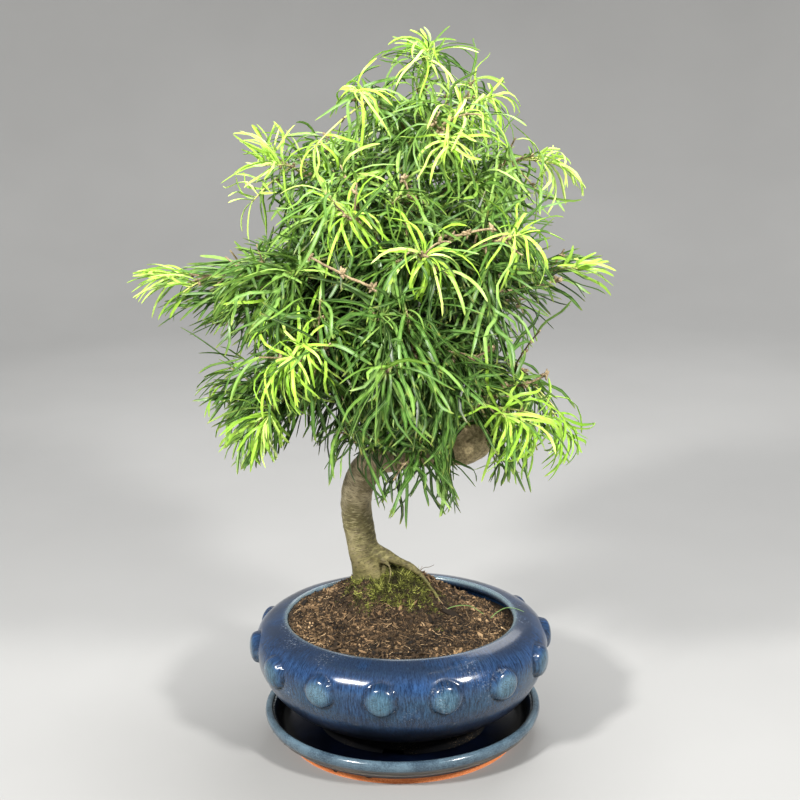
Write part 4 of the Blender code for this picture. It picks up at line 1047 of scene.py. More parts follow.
# the shoots that show most at the front: place in millimetres, how young, and how upright
namedTips = [
    (31, -8, 556, 1.0, 0.2), (-19, -34, 530, 0.9, 0), (77, 8, 519, 0.8, 0), (56, -34, 514, 1.0, 0.2),
    (-49, -50, 492, 0.8, 0), (46, -58, 491, 0.9, 0), (113, 12, 474, 0.8, 0.4),
    (-78, -37, 478, 0.6, 0.6), (-92, -8, 474, 0.7, 1.1), (-70, 20, 480, 0.6, 1.0),
    (-23, -88, 451, 1.0, 0), (97, -67, 431, 0.9, 0), (32, -104, 424, 1.0, 0), (-177, 5, 387, 1.0, 0.2),
    (-158, -16, 380, 0.8, 0), (139, -22, 397, 0.7, 0.4), (-64, -108, 353, 1.0, 0),
    (86, -92, 304, 0.9, 0), (-87, -81, 300, 0.7, -0.3), (132, -16, 276, 1.0, 0),
    (110, -30, 258, 0.6, -0.3), (-104, -4, 446, 0.6, 0.5), (-130, -10, 308, 0.5, -0.1),
    (-112, -24, 272, 0.5, -0.6), (-126, 0, 286, 0.5, -0.3), (84, -32, 260, 0.5, -1.0),
    (96, -38, 268, 0.2, -0.9), (136, -14, 262, 0.9, -0.2), (78, -36, 252, 0.2, -1.2),
    (-6, -114, 388, 0.1, -0.7), (-48, -104, 340, 0.1, -0.5), (58, -96, 352, 0.1, -0.7),
    (-128, -8, 352, 0.2, 0), (-118, -24, 334, 0.4, -0.1), (24, -42, 238, 0.1, -1.6),
    (4, -48, 248, 0.1, -1.6), (44, -40, 246, 0.1, -1.5), (-14, -50, 262, 0.1, -1.4),
    (-42, -104, 394, 0.1, -0.6), (18, -112, 388, 0.2, -0.6), (76, -84, 378, 0.1, -0.4),
    (-82, -70, 376, 0.2, -0.4), (112, -30, 352, 0.1, -0.3), (-28, -98, 314, 0.1, -0.9),
    (42, -102, 318, 0.2, -0.8), (-88, -52, 334, 0.2, -0.4), (-52, -44, 440, 0.3, 0),
    (14, -60, 460, 0.4, 0), (66, -30, 462, 0.3, 0), (22, -22, 436, 0.1, 0), (-110, 30, 352, 0.1, 0),
    (112, 0, 448, 0.4, 0), (-6, -84, 340, 0.1, -0.9), (-73, -106, 344, 0.9, -0.3),
    (-55, -107, 362, 0.9, 0.1), (102, -84, 296, 0.9, -0.2), (120, -48, 288, 0.8, -0.2),
    (-98, -70, 290, 0.6, -0.4), (-126, -14, 320, 0.4, -0.1), (124, 6, 470, 0.7, 0.3),
    (-122, -6, 410, 0.3, 0.1), (-62, -84, 408, 0.3, -0.1),
]
# old bare twigs with knobs of bud scales, from inside to their ends, in millimetres
bareTwigs = [
    [(0, -84, 396), (-5, -116, 405), (-28, -121, 417), (-46, -124, 428)],
    [(20, -30, 452), (20, -62, 457), (15, -66, 471)],
    [(40, -52, 428), (52, -80, 433), (66, -84, 437), (77, -84, 438)],
    [(44, -50, 392), (70, -66, 390), (100, -62, 391), (124, -54, 395)],
    [(34, -54, 336), (58, -84, 344), (76, -86, 353)],
    [(70, -20, 306), (98, -42, 313), (116, -44, 321)],
]
# the crown seen from the front at the photo's distance: height, left and right end in millimetres,
# then from left to right its lowest height, and the bare elbow of the trunk
outline = np.array([
    (150, 12, 24), (174, -4, 32), (186, -10, 46), (197, -30, 84), (206, -60, 108), (217, -100, 110),
    (230, -136, 136), (244, -144, 148), (257, -148, 159), (270, -156, 156), (283, -160, 140),
    (296, -156, 133), (309, -152, 124), (322, -146, 108), (336, -166, 124), (347, -180, 134),
    (360, -192, 148), (367, -199, 160), (376, -206, 170), (387, -207, 173), (398, -186, 164),
    (410, -132, 142), (422, -113, 127), (434, -112, 130), (446, -126, 146), (456, -135, 150),
    (470, -113, 138), (481, -110, 127), (493, -113, 106), (505, -118, 100), (509, -60, 97),
    (518, -38, 95), (527, -36, 90), (538, -22, 80), (550, -9, 76), (561, 2, 70), (575, 12, 46),
]) * mm
lowest = np.array([
    (-160, 278), (-152, 258), (-141, 242), (-126, 223), (-100, 232), (-84, 252), (-68, 258), (-60, 222),
    (-54, 212), (-42, 222), (-28, 214), (-14, 196), (2, 178), (23, 173), (36, 190), (51, 194),
    (60, 214), (74, 210), (90, 220), (109, 203), (125, 224), (152, 250), (170, 300),
]) * mm
elbow = {
    "x": 0.0600, "z": 0.2500, "radius": 0.0150, "openLeft": -0.046, "openRight": 0.030,
    "openTop": 0.242, "keep": 0.13,
}
eye = np.array([0.0821, -1.0737, 0.6171])
# where the backdrop shows through the crown's edge: place and half size across and up, seen from the eye
openPlaces = np.array([
    (-38, 506, 16, 9), (-58, 503, 8, 6), (-5, 540, 9, 6), (11, 525, 6, 4), (36, 526, 7, 6),
    (54, 540, 6, 7), (105, 489, 15, 6), (-72, 488, 6, 6), (-73, 468, 6, 4), (-98, 430, 9, 8),
    (-127, 404, 9, 5), (-147, 406, 9, 5), (-168, 378, 11, 4), (-152, 362, 13, 4), (-137, 342, 11, 6),
    (139, 380, 12, 5), (113, 371, 9, 5), (101, 353, 9, 6), (109, 317, 8, 6), (104, 329, 6, 6),
    (132, 285, 8, 6), (-76, 267, 14, 7), (-107, 242, 6, 7), (-120, 250, 5, 5), (-54, 277, 9, 12),
    (-41, 246, 6, 8), (107, 242, 9, 10), (90, 230, 7, 6), (54, 217, 7, 6), (13, 525, 7, 6),
    (37, 526, 8, 7), (57, 540, 7, 6), (-43, 498, 9, 6), (149, 381, 13, 6), (132, 368, 11, 5),
    (113, 364, 12, 7), (105, 347, 9, 6), (-56, 259, 6, 14), (-121, 354, 9, 5), (-164, 360, 9, 5),
    (-125, 250, 7, 6), (111, 244, 7, 7), (138, 248, 8, 6), (70, 543, 8, 6), (46, 568, 8, 4),
    (152, 404, 10, 4), (-143, 275, 6, 6), (-109, 478, 6, 6), (-50, 508, 7, 5), (86, 353, 6, 5),
]) * mm
# how much a branch's leaves are swept along it, where that is more than a little
sweeps = {5: 0.35, 7: 0.3, 10: 0.5, 14: 0.5, 15: 1.2, 16: 2.0, 17: 0.6, 20: 0.4, 22: 0.7, 23: 0.9, 25: 0.4}
# the middles of the fresh whorls that nothing covers, and how wide the view to them is kept
whorls = np.array([(x, y, z, 9 + 15 * age) for x, y, z, age, _ in namedTips if age >= 0.6]) * mm


def bezier(a, b, c, t):
    # the quadratic curve (1-t)^2 a + 2t(1-t) b + t^2 c
    t = t[..., None]
    return (1 - t) ** 2 * a + 2 * t * (1 - t) * b + t ** 2 * c


def onPaths(paths, t):
    # the point at share t of each path, between its two nearest points
    place = np.clip(t, 0, 1) * (paths.shape[1] - 1)
    at = np.minimum(place.astype(int), paths.shape[1] - 2)
    row = np.arange(len(paths))
    share = (place - at)[:, None]
    return (1 - share) * paths[row, at] + share * paths[row, at + 1]


def nearestBranch(target):
    # the branch whose curve passes closest to a place, and where along it
    t = np.linspace(0.45, 1.0, 24)
    curves = np.array([bezier(plan[3], plan[4], plan[5], t) for plan in plans])
    gaps = np.linalg.norm(curves - target, axis=-1)
    k, at = np.unravel_index(np.argmin(gaps), gaps.shape)
    return int(k), float(t[at])


def sideShoots(k, extra, draw):
    # forks off the branch: root on its curve, heading forward and to alternate sides, tip bowed;
    # then the named shoots, which end at their own places
    root, bend, tip = plans[k][3:]
    count = max(2, int(round(np.linalg.norm(tip - root) / crown["sideEvery"])))
    t = np.linspace(crown["sideFrom"], 0.92, count) + draw.uniform(-0.02, 0.02, count)
    start = bezier(root, bend, tip, t)
    forward = unit(bezier(root, bend, tip, t + 0.03) - start)
    side = unit(np.cross(forward, up))
    turn = np.arange(count) * math.pi + draw.normal(0, 0.70, count)
    heading = unit(0.70 * forward + 0.80 * around(turn[:, None], side, np.cross(side, forward)))
    length = (draw.uniform(*crown["sideLength"], count) * (1.05 - 0.30 * t) * sideReach[k])[:, None]
    end = start + length * heading + length * draw.uniform(-0.45, 0.50, (count, 1)) * up
    middle = start + 0.55 * length * unit(heading + 0.20 * up)
    young, rise = np.zeros(count), np.zeros(count)
    for at, goal, age, lift in extra:
        begin = bezier(root, bend, tip, np.array([at]))
        length = np.linalg.norm(goal - begin, axis=1)[:, None]
        t, young, rise = np.append(t, at), np.append(young, age), np.append(rise, lift)
        start, end = np.vstack([start, begin]), np.vstack([end, goal])
        middle = np.vstack([middle, begin + 0.5 * length * unit(goal - begin + 0.15 * length * up)])
    s = np.linspace(0, 1, crown["sidePoints"])
    return t, bezier(start[:, None], middle[:, None], end[:, None], s[None, :]), young, rise


def ranked(counts):
    # for groups of these sizes: each member's group, and its rank in the group
    return np.repeat(np.arange(len(counts)), counts), np.concatenate([np.arange(n) for n in counts])


def spurPlaces(paths, every, fromShare, toShare, draw):
    # places along each path, and a spur's axis there: any way round, mostly up, leaning forward
    counts = np.maximum(1, (steps(paths, 1).sum(axis=1) * (toShare - fromShare) / every).astype(int))
    owner, rank = ranked(counts)
    t = fromShare + (toShare - fromShare)[owner] * (rank + draw.uniform(0.2, 0.8, len(rank))) / counts[owner]
    forward = unit(paths[:, -1] - paths[:, 0])[owner]
    way = squareTo(forward, unit(draw.normal(size=(len(rank), 3)) + 0.25 * up))
    return onPaths(paths[owner], t), unit(way + 0.45 * forward)


def tipped(axis, turn, spread):
    # the axis tipped over by spread, to the side that turn points to
    reference = np.where(np.abs(axis[:, 2:]) > 0.85, np.array([1.0, 0.0, 0.0]), up)
    side = unit(np.cross(axis, reference))
    return unit(around(spread[:, None], axis, around(turn[:, None], side, np.cross(axis, side))))


def goldenTurns(counts, draw):
    # for leaves that follow each other round a stem: their stem, share of the way up, and turn
    owner, rank = ranked(counts)
    turn = rank * math.radians(137.508) + draw.uniform(0, 6.28, len(counts))[owner]
    return owner, (rank + 0.5) / counts[owner], turn + draw.normal(0, 0.15, len(owner))


def leafLines(root, axis, heading, length, bend, young, draw):
    # the blade at v points along cos(a) heading + sin(a) fall + wave across, a = bend (1 - (1-v)^p);
    # fall is square to the heading, downwards and away from the stem; the steps are summed from v = 0
    v = np.array(leaf["stations"])
    middle = ((v[1:] + v[:-1]) / 2)[None, :, None]
    fall = -0.8 * up - (0.25 + 0.4 * young)[:, None] * axis + 0.36 * draw.normal(size=axis.shape)
    fall = squareTo(heading, fall)
    across = np.cross(fall, heading)
    room = np.arccos(np.clip(-heading[:, 2], -1, 1)) + 0.3 + 1.1 * young
    a = np.minimum(bend, room)[:, None, None] * (1 - (1 - middle) ** (1.65 - 0.45 * young)[:, None, None])
    swing = leaf["wave"] * draw.normal(0, 1, len(root)) * (1 - 0.4 * young)
    phase = draw.uniform(0, 1, len(root))[:, None, None]
    swing = swing[:, None, None] * np.sin(2 * math.pi * (1.15 * middle + phase))
    way = unit(around(a, heading[:, None], fall[:, None]) + swing * across[:, None])
    move = length[:, None, None] * np.diff(v)[None, :, None] * way
    return np.concatenate([root[:, None], root[:, None] + np.cumsum(move, axis=1)], axis=1), across


def leafBlades(line, across, width, roll, twist):
    # at each v four points: both borders, raised by the cup, the channel between them and the keel below
    # half width = w/2 (0.42 + 0.58 smoothstep(v / 0.2)) (1 - v^9)^0.6
    v = np.array(leaf["stations"])[None, :, None]
    tangent = unit(np.gradient(line, axis=1))
    side = squareTo(tangent, across[:, None])
    top = np.cross(side, tangent)
    turn = roll[:, None, None] + twist[:, None, None] * v
    side, top = around(turn, side, top), around(turn, top, -side)
    half = width[:, None, None] / 2 * (0.42 + 0.58 * smoothStep(v, 0, 0.2)) * (1 - v ** 9) ** 0.6
    keel = leaf["thickness"] * (0.3 + 0.7 * half / half.max())
    ring = np.stack([line - side * half + top * half * 0.25, line + top * keel * 0.2,
                     line + side * half + top * half * 0.25, line - top * keel], axis=2)[:, :-1]
    return np.concatenate([ring.reshape(len(line), -1, 3), line[:, -1:]], axis=1)


def insideBox(line, root):
    # shrinks each blade towards its root until its points lie in the box of the solids
    gap = crown["boxGap"]
    low, high = cadLow + gap, cadHigh - np.array([gap, gap, crown["topGap"]])
    offset = line - root[:, None]
    limit = np.where(offset > 0, high - root[:, None], low - root[:, None])
    room = limit / np.where(np.abs(offset) < 1e-6, 1e9, offset)
    share = np.clip(np.where(np.abs(offset) < 1e-6, 1, room).min(axis=(1, 2)), 0, 1)
    return root[:, None] + offset * share[:, None, None], share


def hidesTrunk(seen):
    # true for blades that reach below the trunk's level stretch, left of the elbow
    beside = (seen[..., 0] > elbow["openLeft"]) & (seen[..., 0] < elbow["openRight"])
    return (beside & (seen[..., 2] < elbow["openTop"])).any(axis=1)


def seenFlat(points):
    # each point moved along its line from the eye to the plane y = 0
    return eye + (points - eye) * (-eye[1] / (points[..., 1:2] - eye[1]))


def outside(seen, share, rise):
    # true for places past this share of the outline's half widths, or less than rise over its foot
    x, z = seen[..., 0], seen[..., 2]
    left, right = (np.interp(z, outline[:, 0], outline[:, n]) * share for n in (1, 2))
    return (x < left) | (x > right) | (z < np.interp(x, lowest[:, 0], lowest[:, 1]) + rise)


def hidesWhorl(line, seen):
    # true for blades that pass before the middle of a fresh whorl, nearer the eye than it is
    middle = seenFlat(whorls[:, :3])
    gap = np.hypot(seen[:, :, None, 0] - middle[:, 0], seen[:, :, None, 2] - middle[:, 2])
    nearer = line[:, :, None, 1] < whorls[:, 1] + 0.008
    return ((gap < whorls[:, 3]) & nearer).any(axis=(1, 2))


def inOpening(seen):
    # true for blades with a point in one of the open places' ovals
    across = (seen[:, :, None, 0] - openPlaces[:, 0]) / openPlaces[:, 2]
    along = (seen[:, :, None, 2] - openPlaces[:, 1]) / openPlaces[:, 3]
    return (across ** 2 + along ** 2 < 1).any(axis=(1, 2))


def insideOutline(line, root, free, draw):
    # the same against the crown's outline, seen from the eye and drawn in by a random share but for
    # free leaves: the longest of five lengths that stays inside and off the elbow is kept
    best = np.zeros(len(line))
    chance = draw.uniform(0, 1, len(line))
    reach = np.where(free, 1.02, 1.03 - 0.30 * draw.uniform(0, 1, len(line)) ** 1.5)[:, None]
    for share in crown["lengths"]:
        seen = seenFlat(root[:, None] + share * (line - root[:, None]))
        beside = np.hypot(seen[..., 0] - elbow["x"], seen[..., 2] - elbow["z"]) > elbow["radius"]
        fits = (beside & ~outside(seen, reach, 0))[:, 2:].all(axis=1)
        best = np.where(fits & ((chance < elbow["keep"]) | ~hidesTrunk(seen)), share, best)
    line = root[:, None] + (line - root[:, None]) * best[:, None, None]
    seen = seenFlat(line)
    dropped = inOpening(seen) & (chance > crown["openKeep"])
    dropped |= hidesWhorl(line, seen) & ~free & (chance > crown["whorlKeep"])
    atEdge = outside(seen[:, -1], crown["edgeShare"], crown["edgeRise"])
    dropped |= atEdge & ~free & (chance > crown["edgeKeep"])
    return line, np.where(dropped, 0, best)


def shootAges(shoots, fresh, draw):
    # 0 old to 1 new: newer outside and at the top, some tips new by chance, the named ones as given
    ends = shoots[:, -1]
    outer = smoothStep(np.hypot(ends[:, 0] + 0.01, ends[:, 1]) + 0.25 * (ends[:, 2] - 0.40), 0.03, 0.11)
    high = smoothStep(ends[:, 2], 0.38, 0.52)
    age = draw.uniform(0.0, 0.2, len(shoots))
    age = age + (0.26 * outer + 0.24 * high) * draw.uniform(0.2, 1, len(shoots))
    behind = 0.3 + 0.7 * smoothStep(ends[:, 1], -0.01, 0.04)
    newTip = draw.uniform(size=len(shoots)) < (0.12 * outer + 0.16 * high) * behind
    age = np.where(newTip, draw.uniform(0.65, 1.0, len(shoots)), np.minimum(age, 0.5))
    age[1:] = np.maximum(age[1:], fresh)
    return age


def shootLeaves(shoots, age, fresh, draw):
    # leaves round the outer part of each shoot, spread wide at its foot and closed up at its tip
    isFresh = age > crown["freshAge"]
    span = np.minimum(0.62, crown["freshSpan"] / steps(shoots, 1).sum(axis=1))
    span = np.where(isFresh, span, 1 - crown["shootFrom"])
    counts = draw.randint(*crown["shootLeaves"], len(shoots))
    counts = np.where(isFresh, draw.randint(*crown["freshLeaves"], len(shoots)), counts)
    counts[1:] += crown["namedLeaves"] * (fresh > 0.05)
    owner, share, turn = goldenTurns(counts, draw)
    t = 1 - span[owner] * (1 - share ** 0.8)
    ahead = unit(onPaths(shoots[owner], t + 0.05) - onPaths(shoots[owner], t - 0.15))
    axis = unit(ahead + (0.35 * age[owner] * share)[:, None] * up)
    heading = tipped(axis, turn, 1.45 - 1.0 * share ** 1.3 + draw.normal(0, 0.10, len(owner)))
    return owner, share, onPaths(shoots[owner], t), axis, heading, age[owner] * (0.78 + 0.28 * share)


def spurLeaves(spots, axes, draw):
    # a rosette at the end of each spur
    owner, share, turn = goldenTurns(draw.randint(*crown["spurLeaves"], len(spots)), draw)
    length = crown["spurLength"] * draw.uniform(0.8, 1.3, len(spots))
    heading = tipped(axes[owner], turn, 0.45 + 1.05 * share + draw.normal(0, 0.12, len(owner)))
    young = draw.uniform(0, 0.14, len(spots)) + 0.16 * smoothStep(spots[:, 2], 0.38, 0.52)
    return length, (spots + length[:, None] * axes)[owner], axes[owner], heading, young[owner]


def freeOfTrunk(line):
    # true for blades whose points past the second all lie outside the trunk
    probe = line[:, 2:].reshape(-1, 3)
    near = nearestOnTrunk(probe)
    clear = np.linalg.norm(probe - fineTrunk[near, :3], axis=1) > fineTrunk[near, 3] + 0.001
    return clear.reshape(len(line), -1).all(axis=1)


def between(key, newness, draw):
    # a random size of a mature leaf and of a young one, to be blended by newness
    ranges = leaf["mature" + key], leaf["young" + key]
    return [draw.uniform(*ends, len(newness)) for ends in ranges]


def addLeaves(k, blades, young, material, draw):
    # one mesh of blades; its values are age, tone, and the place along, across and under each blade;
    # the tone is random, with painted shade on leaves deep in the crown and painted light on higher ones
    count, step = blades.shape[:2]
    rows = len(leaf["stations"]) - 1
    faces = [gridQuads(rows, 4), np.array([[0, 3, 2, 1]]), poleFan((rows - 1) * 4, 4, step - 1, False)]
    feet = blades[:, 0]
    # painted shade on leaves rooted deep in the crown, painted light on the higher ones
    insideShadeTopLight = smoothStep(np.hypot(feet[:, 0], feet[:, 1]) + 0.5 * np.abs(feet[:, 2] - 0.37), 0.05, 0.15)
    insideShadeTopLight = 0.31 * insideShadeTopLight + 0.14 * smoothStep(feet[:, 2], 0.36, 0.50)
    shade = np.clip(0.13 + insideShadeTopLight + 0.17 * draw.normal(size=count) + 0.22 * noise(feet, 0.045, 61), 0, 1)
    along = np.append(np.repeat(leaf["stations"][:-1], 4), 1.0)
    across = np.append(np.tile([1.0, 0.0, 1.0, 0.0], rows), 0.5)
    under = np.append(np.tile([0.0, 0.0, 0.0, 1.0], rows), 0.0)
    values = {"young": np.repeat(young, step), "tone": np.repeat(shade, step), "along": np.tile(along, count),
              "across": np.tile(across, count), "under": np.tile(under, count)}
    mesh = makeMesh("leaves_%02d" % (k + 1), blades, [copyFaces(block, count, step) for block in faces])
    addPiece(mesh, material, "leafy_branch_%02d" % (k + 1), values, 60)


def buildBranch(k, extra, woodPaint, leafPaint):
    # the branch's own curve with small random kinks, then its shoots, spurs, leaves and bud barrels
    draw = np.random.RandomState(crown["seed"] + 17 * k)
    rootRadius, root, bend, tip = plans[k][2:]
    t = np.linspace(0, 1, crown["mainPoints"])
    main = bezier(root, bend, tip, t) + 0.0009 * (t * (1 - t) * 4)[:, None] * draw.normal(size=(len(t), 3))
    main[0] = root - branch["gap"] * unit(bend - root) if k else root
    mainRadius = rootRadius + (branch["tipRadius"] - rootRadius) * t ** branch["taper"]
    place, sides, fresh, rise = sideShoots(k, extra, draw)
    tooLong = outside(seenFlat(sides[:, -1]), 0.90, 0.010) & (fresh == 0)
    sides = sides[:, :1] + (sides - sides[:, :1]) * np.where(tooLong, 0.6, 1.0)[:, None, None]
    isNamed = fresh > crown["freshAge"]
    mainSpurs = spurPlaces(main[None], crown["spurEvery"], crown["spurFrom"], np.array([0.94]), draw)
    sideSpurs = spurPlaces(sides, crown["sideSpurEvery"], 0.20, 0.94 - 0.34 * isNamed, draw)
    spots, axes = (np.vstack(pair) for pair in zip(mainSpurs, sideSpurs))
    s = np.linspace(0, 1, crown["sidePoints"])
    mainEnd = main[np.linspace(9, 13, crown["sidePoints"]).astype(int)]
    shoots = np.concatenate([bezier(mainEnd[0], mainEnd[4], mainEnd[-1], s)[None], sides])
    age = shootAges(shoots, fresh, draw)
    owner, share, *shootRows = shootLeaves(shoots, age, fresh, draw)
    length, *spurRows = spurLeaves(spots, axes, draw)
    roots, axis, heading = (np.vstack(pair) for pair in zip(shootRows[:3], spurRows[:3]))
    spurCount, shootCount, count = len(spurRows[3]), len(owner), len(roots)
    droop = 1 - smoothStep(roots[:, 2], 0.27, 0.50)
    rise = np.append(np.append(0, rise)[owner], -0.3 * np.ones(spurCount)) - 0.55 * droop
    heading = unit(heading + (0.12 + 0.75 * rise)[:, None] * up)
    young = np.clip(np.append(shootRows[3], spurRows[3]) + draw.normal(0, 0.05, count), 0, 1)
    newness = smoothStep(young, 0.3, 0.75)
    matureLength, youngLength = between("Length", newness, draw)
    youngLength = youngLength * (0.82 + 0.33 * young ** 2)
    youngLength[:shootCount] *= 1 + 0.12 * np.append(0, isNamed)[owner]
    lengths = matureLength + (youngLength - matureLength) * newness
    lengths = lengths * np.append(1 - 0.30 * share ** 3, np.ones(spurCount)) * (1 + 0.10 * droop)
    swept = sweeps.get(k, crown["sweep"]) * (1 - 0.5 * newness)
    heading = unit(heading + swept[:, None] * (unit(tip - root) - 0.1 * up))
    matureBend, youngBend = between("Bend", newness, draw)
    crownHeight = smoothStep(roots[:, 2], 0.38, 0.50)
    curl = crownHeight * draw.uniform(0, 1.1, count) * (1 - newness)
    bends = (matureBend + curl + (youngBend - matureBend) * newness) * (1 - 0.45 * np.clip(rise, 0, 1))
    bends = bends * (1 - 0.62 * np.minimum(swept, 1))
    line, across = leafLines(roots, axis, heading, lengths, bends, newness, draw)
    line, kept = insideBox(line, roots)
    line, trimmed = insideOutline(line, roots, newness > 0.5, draw)
    least = np.where(newness > 0.5, crown["freshKeep"], crown["matureKeep"])
    good = freeOfTrunk(line) & (kept * trimmed > least)
    width = leaf["width"] * draw.uniform(0.80, 1.05, count) * (1 - 0.14 * newness) * (1 - 0.14 * crownHeight)
    roll, twist = draw.normal(0, 0.35, count), draw.normal(0, 0.7, count)
    blades = leafBlades(line[good], across[good], width[good], roll[good], twist[good])
    addLeaves(k, blades, young[good], leafPaint, draw)
    sideRoot = 0.75 * np.interp(place, np.linspace(0, 1, len(mainRadius)), mainRadius)[:, None]
    sideRadius = np.minimum(sideRoot, 0.0013) * (1 - s) + 0.0006 * s
    barrel, girth = barrels(spots, axes, length, draw)
    parts = [tubes(main[None], mainRadius[None], 9), tubes(sides, sideRadius, 6), tubes(barrel, girth, 6)]
    ages = [np.repeat(age, points.shape[1])
            for age, (points, _) in zip((np.zeros(1), fresh, np.zeros(len(spots))), parts)]
    addPiece(makeMesh("twigs_%02d" % (k + 1), *joinParts(parts)), woodPaint,
             "leafy_branch_%02d" % (k + 1), {"young": np.concatenate(ages)}, 70)
    return len(blades)


def barrels(spots, axes, length, draw):
    # a ringed barrel of bud scales along each spur
    s, girth = np.array(crown["barrel"]).T
    path = spots[:, None] + (length[:, None] * s)[..., None] * axes[:, None]
    return path, draw.uniform(*crown["barrelRadius"], (len(spots), 1)) * girth


def buildBareTwigs(material):
    # each twig's tube, and at its end and two places before it a knob of short bud scales set round it
    draw = np.random.RandomState(crown["seed"] + 999)
    s = np.array([0.0, 0.3, 0.65, 1.0])
    parts = []
    for row in bareTwigs:
        line = smoothLine(row, 24) * mm
        line = line + 0.0006 * noise(line, 0.006, 63)[:, None] * up
        radii = np.linspace(0.0012, 0.0008, 24) * (1 + 0.18 * noise(line, 0.004, 64))
        spot = np.repeat(line[[23, 16, 9, 9]], 9, axis=0)
        way = unit(draw.normal(size=spot.shape) + 0.3 * up)
        size = draw.uniform(0.0026, 0.0052, (len(spot), 1))
        scales = spot[:, None] + (size * s)[..., None] * way[:, None]
        girth = draw.uniform(0.0008, 0.0014, (len(spot), 1)) * np.array([[0.9, 1.25, 1.0, 0.35]])
        parts += [tubes(line[None], radii[None], 8), tubes(scales, girth, 5)]
    points, faces = joinParts(parts)
    values = {"young": np.zeros(len(points))}
    addPiece(makeMesh("bare_twigs", points, faces), material, None, values, 70)


def leafPaint():
    paint = Paint("larchLeaf", Specular_IOR_Level=0.35)
    young, along, across, under = (paint.value(name) for name in ("young", "along", "across", "under"))
    patchy = paint.noise(paint.point(), 220)
    # tone holds random tone with painted shade deep in the crown and painted light at its top
    shade = (paint.value("tone") + (patchy - 0.5) * 0.3).clamp()
    mature = paint.ramp(shade, (0.0, (18, 42, 12)), (0.45, (80, 124, 46)), (1.0, (164, 202, 102)))
    fresh = paint.ramp(shade, (0.0, (138, 192, 48)), (0.5, (176, 218, 76)), (1.0, (226, 240, 146)))
    colour = paint.layers(mature, [
        (young.step(0.16, 0.78), fresh),
        ((1 - across.step(0.05, 0.22)) * (1 - under) * 0.30, (190, 216, 130)),
        (under * 0.35, (140, 172, 106)),
        ((1 - along.step(0.0, 0.16)) * 0.45, (200, 214, 120)),
        (along.step(0.86, 1.0) * 0.3, (190, 188, 90)),
    ])
    glow = paint.add("ShaderNodeBsdfTranslucent", {}, {"Color": colour})
    mixed = paint.add("ShaderNodeMixShader", {}, [0.26, Knob(paint, paint.shader.outputs[0]), glow])
    paint.feed(paint.tree.nodes["Material Output"].inputs["Surface"], mixed)
    return paint.finish(colour, (0.40 + (patchy - 0.5) * 0.3 + under * 0.15).clamp())


def twigPaint():
    paint = Paint("larchTwig", Specular_IOR_Level=0.35)
    point = paint.point()
    grain = paint.noise(point, 700, 3, 0.6)
    old = paint.ramp(grain * 0.6 + paint.noise(point, 120) * 0.4, (0.3, (76, 62, 44)),
                     (0.5, (136, 118, 88)), (0.7, (196, 176, 140)))
    paint.bump(grain, 0.6, 0.0005)
    return paint.finish(paint.mix(paint.value("young").step(0.2, 0.9), old, (190, 196, 112)),
                        0.7 + (grain - 0.5) * 0.3)


extras = {}
for x, y, z, age, lift in namedTips:
    target = np.array([x, y, z]) * mm
    k, at = nearestBranch(target)
    extras.setdefault(k, []).append((max(0.4, at - 0.12), target, age, lift))
woodLook, leafLook = twigPaint(), leafPaint()
buildBareTwigs(woodLook)
total = sum(buildBranch(k, extras.get(k, []), woodLook, leafLook) for k in range(len(branches)))
print("crown done,", total, "leaves")


# Loose strands and the drain mesh

# radius and points, in millimetres
strands = {
    "grass_strand_1": (0.36, [(35, 13, 102), (41, 15, 105), (50, 17, 106), (59, 16, 105), (68, 9, 102)]),
    "grass_strand_2": (0.32, [(74, 6, 100), (79, 9, 103.6), (86, 12, 106.2), (94, 10, 106.8),
                              (101, 6, 105.8)]),
    "dead_twig": (0.30, [(13, 30, 128), (16, 30, 132), (19, 29, 134.5), (23, 29, 135), (27, 29, 137)]),
}


def strandPaint(name, dark, light):
    paint = Paint(name, Specular_IOR_Level=0.35)
    grain = paint.noise(paint.point(), 500, 2, 0.6)
    return paint.finish(paint.mix(grain, dark, light), 0.55 + (grain - 0.5) * 0.3)


def buildStrands():
    green = strandPaint("grassStrand", (58, 92, 40), (124, 156, 88))
    dark = strandPaint("deadTwig", (40, 34, 28), (96, 84, 66))
    for name, (radius, line) in strands.items():
        line = smoothLine(line, 26) * mm
        points, faces = tubes(line[None], radius * mm * np.linspace(1.1, 0.6, 26)[None], 6)
        material = green if name.startswith("grass") else dark
        addPiece(makeMesh(name, points, faces), material, None, {}, 75)


def meshPaint():
    paint = Paint("drainMesh", Specular_IOR_Level=0.4)
    grain = paint.noise(paint.point(), 900, 2, 0.6)
    paint.bump(grain, 0.3, 0.0003)
    return paint.finish(paint.mix(grain, (22, 22, 22), (52, 52, 50)), 0.5 + grain * 0.3)


buildStrands()
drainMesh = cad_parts["drain_mesh"]
drainMesh.data.materials.clear()
drainMesh.data.materials.append(meshPaint())
print("strands and drain mesh done")


# Stage: a pale round sweep, soft lamps and the camera

stage = {
    "floorRadius": 1.45, "sweepRadius": 0.8, "wallTop": 2.9, "columns": 96, "target": (0.0, 0.0, 0.28),
}
camera = {"yaw": 4.159, "pitch": 16.949, "roll": -1.369, "lens": 64.8, "sensor": 36}   # degrees, mm


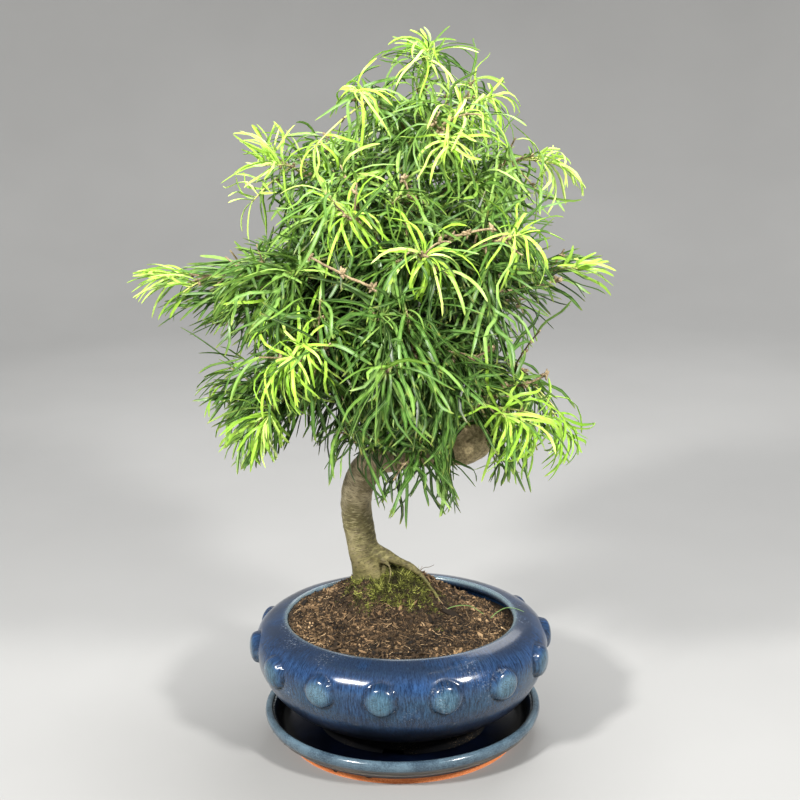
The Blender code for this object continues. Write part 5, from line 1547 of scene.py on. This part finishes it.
def buildStage():
    # (radius, height) of floor, quarter circle and wall carried round Z
    turn = np.linspace(0, math.pi / 2, 20)
    r, far = stage["sweepRadius"], stage["floorRadius"]
    bend = np.stack([far + r * np.sin(turn), r - r * np.cos(turn)], axis=1)
    line = np.vstack([[(0.4, 0), (1.2, 0)], bend, [(far + r, stage["wallTop"])]])
    angle = np.arange(stage["columns"]) * 2 * math.pi / stage["columns"]
    plan = np.stack([line[:, :1] * np.cos(angle), line[:, :1] * np.sin(angle)], axis=-1)
    points = np.vstack([atHeight(plan, line[:, 1:]).reshape(-1, 3), [[0, 0, 0]]])
    faces = [gridQuads(len(line), len(angle)), poleFan(0, len(angle), len(points) - 1, True)]
    mesh = makeMesh("studio_sweep", points, [block[:, ::-1] for block in faces])
    mesh.shade_smooth()
    paint = Paint("palePaper", Specular_IOR_Level=0.2)
    cloud = paint.noise(paint.point(), 3.0, 3)
    mesh.materials.append(paint.finish(paint.mix(cloud, (128, 128, 127), (140, 140, 139)), 0.9))
    addObject("studio_sweep", mesh)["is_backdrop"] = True


def addLamp(name, place, size, power, colour):
    light = bpy.data.lights.new(name, "AREA")
    light.shape = "RECTANGLE"
    light.size, light.size_y = size
    light.energy = power
    light.color = colour
    lamp = addObject(name, light)
    lamp.location = place
    lamp.rotation_euler = (Vector(stage["target"]) - Vector(place)).to_track_quat("-Z", "Y").to_euler()
    lamp.visible_camera = False


def buildLight():
    warm, white = (1.0, 0.985, 0.96), (1.0, 1.0, 1.0)
    addLamp("key_lamp", (-0.95, -1.20, 1.35), (0.21, 0.21), 68, warm)
    addLamp("fill_lamp", (1.15, -1.05, 1.25), (0.22, 0.22), 54, warm)
    addLamp("top_lamp", (0.1, 0.35, 1.9), (0.9, 0.9), 44, white)
    addLamp("back_lamp", (0.2, 1.4, 1.5), (1.2, 0.8), 12, white)
    world = bpy.data.worlds.new("studio")
    world.use_nodes = True
    background = world.node_tree.nodes["Background"].inputs
    background["Color"].default_value = (0.90, 0.93, 1.0, 1.0)
    background["Strength"].default_value = 0.32
    bpy.context.scene.world = world
    bpy.context.scene.view_settings.view_transform = "Standard"


def buildCamera():
    # turned to the left by yaw, down by pitch, then rolled
    yaw, pitch, roll = (math.radians(camera[key]) for key in ("yaw", "pitch", "roll"))
    ahead = Vector((-math.sin(yaw) * math.cos(pitch), math.cos(yaw) * math.cos(pitch), -math.sin(pitch)))
    right = Vector((math.cos(yaw), math.sin(yaw), 0))
    above = right.cross(ahead)
    x = math.cos(roll) * right + math.sin(roll) * above
    y = math.cos(roll) * above - math.sin(roll) * right
    data = bpy.data.cameras.new("photo_camera")
    data.lens, data.sensor_width = camera["lens"], camera["sensor"]
    item = addObject("photo_camera", data)
    item.matrix_world = Matrix((x, y, -ahead)).transposed().to_4x4()
    item.location = eye
    bpy.context.scene.camera = item


buildStage()
buildLight()
buildCamera()
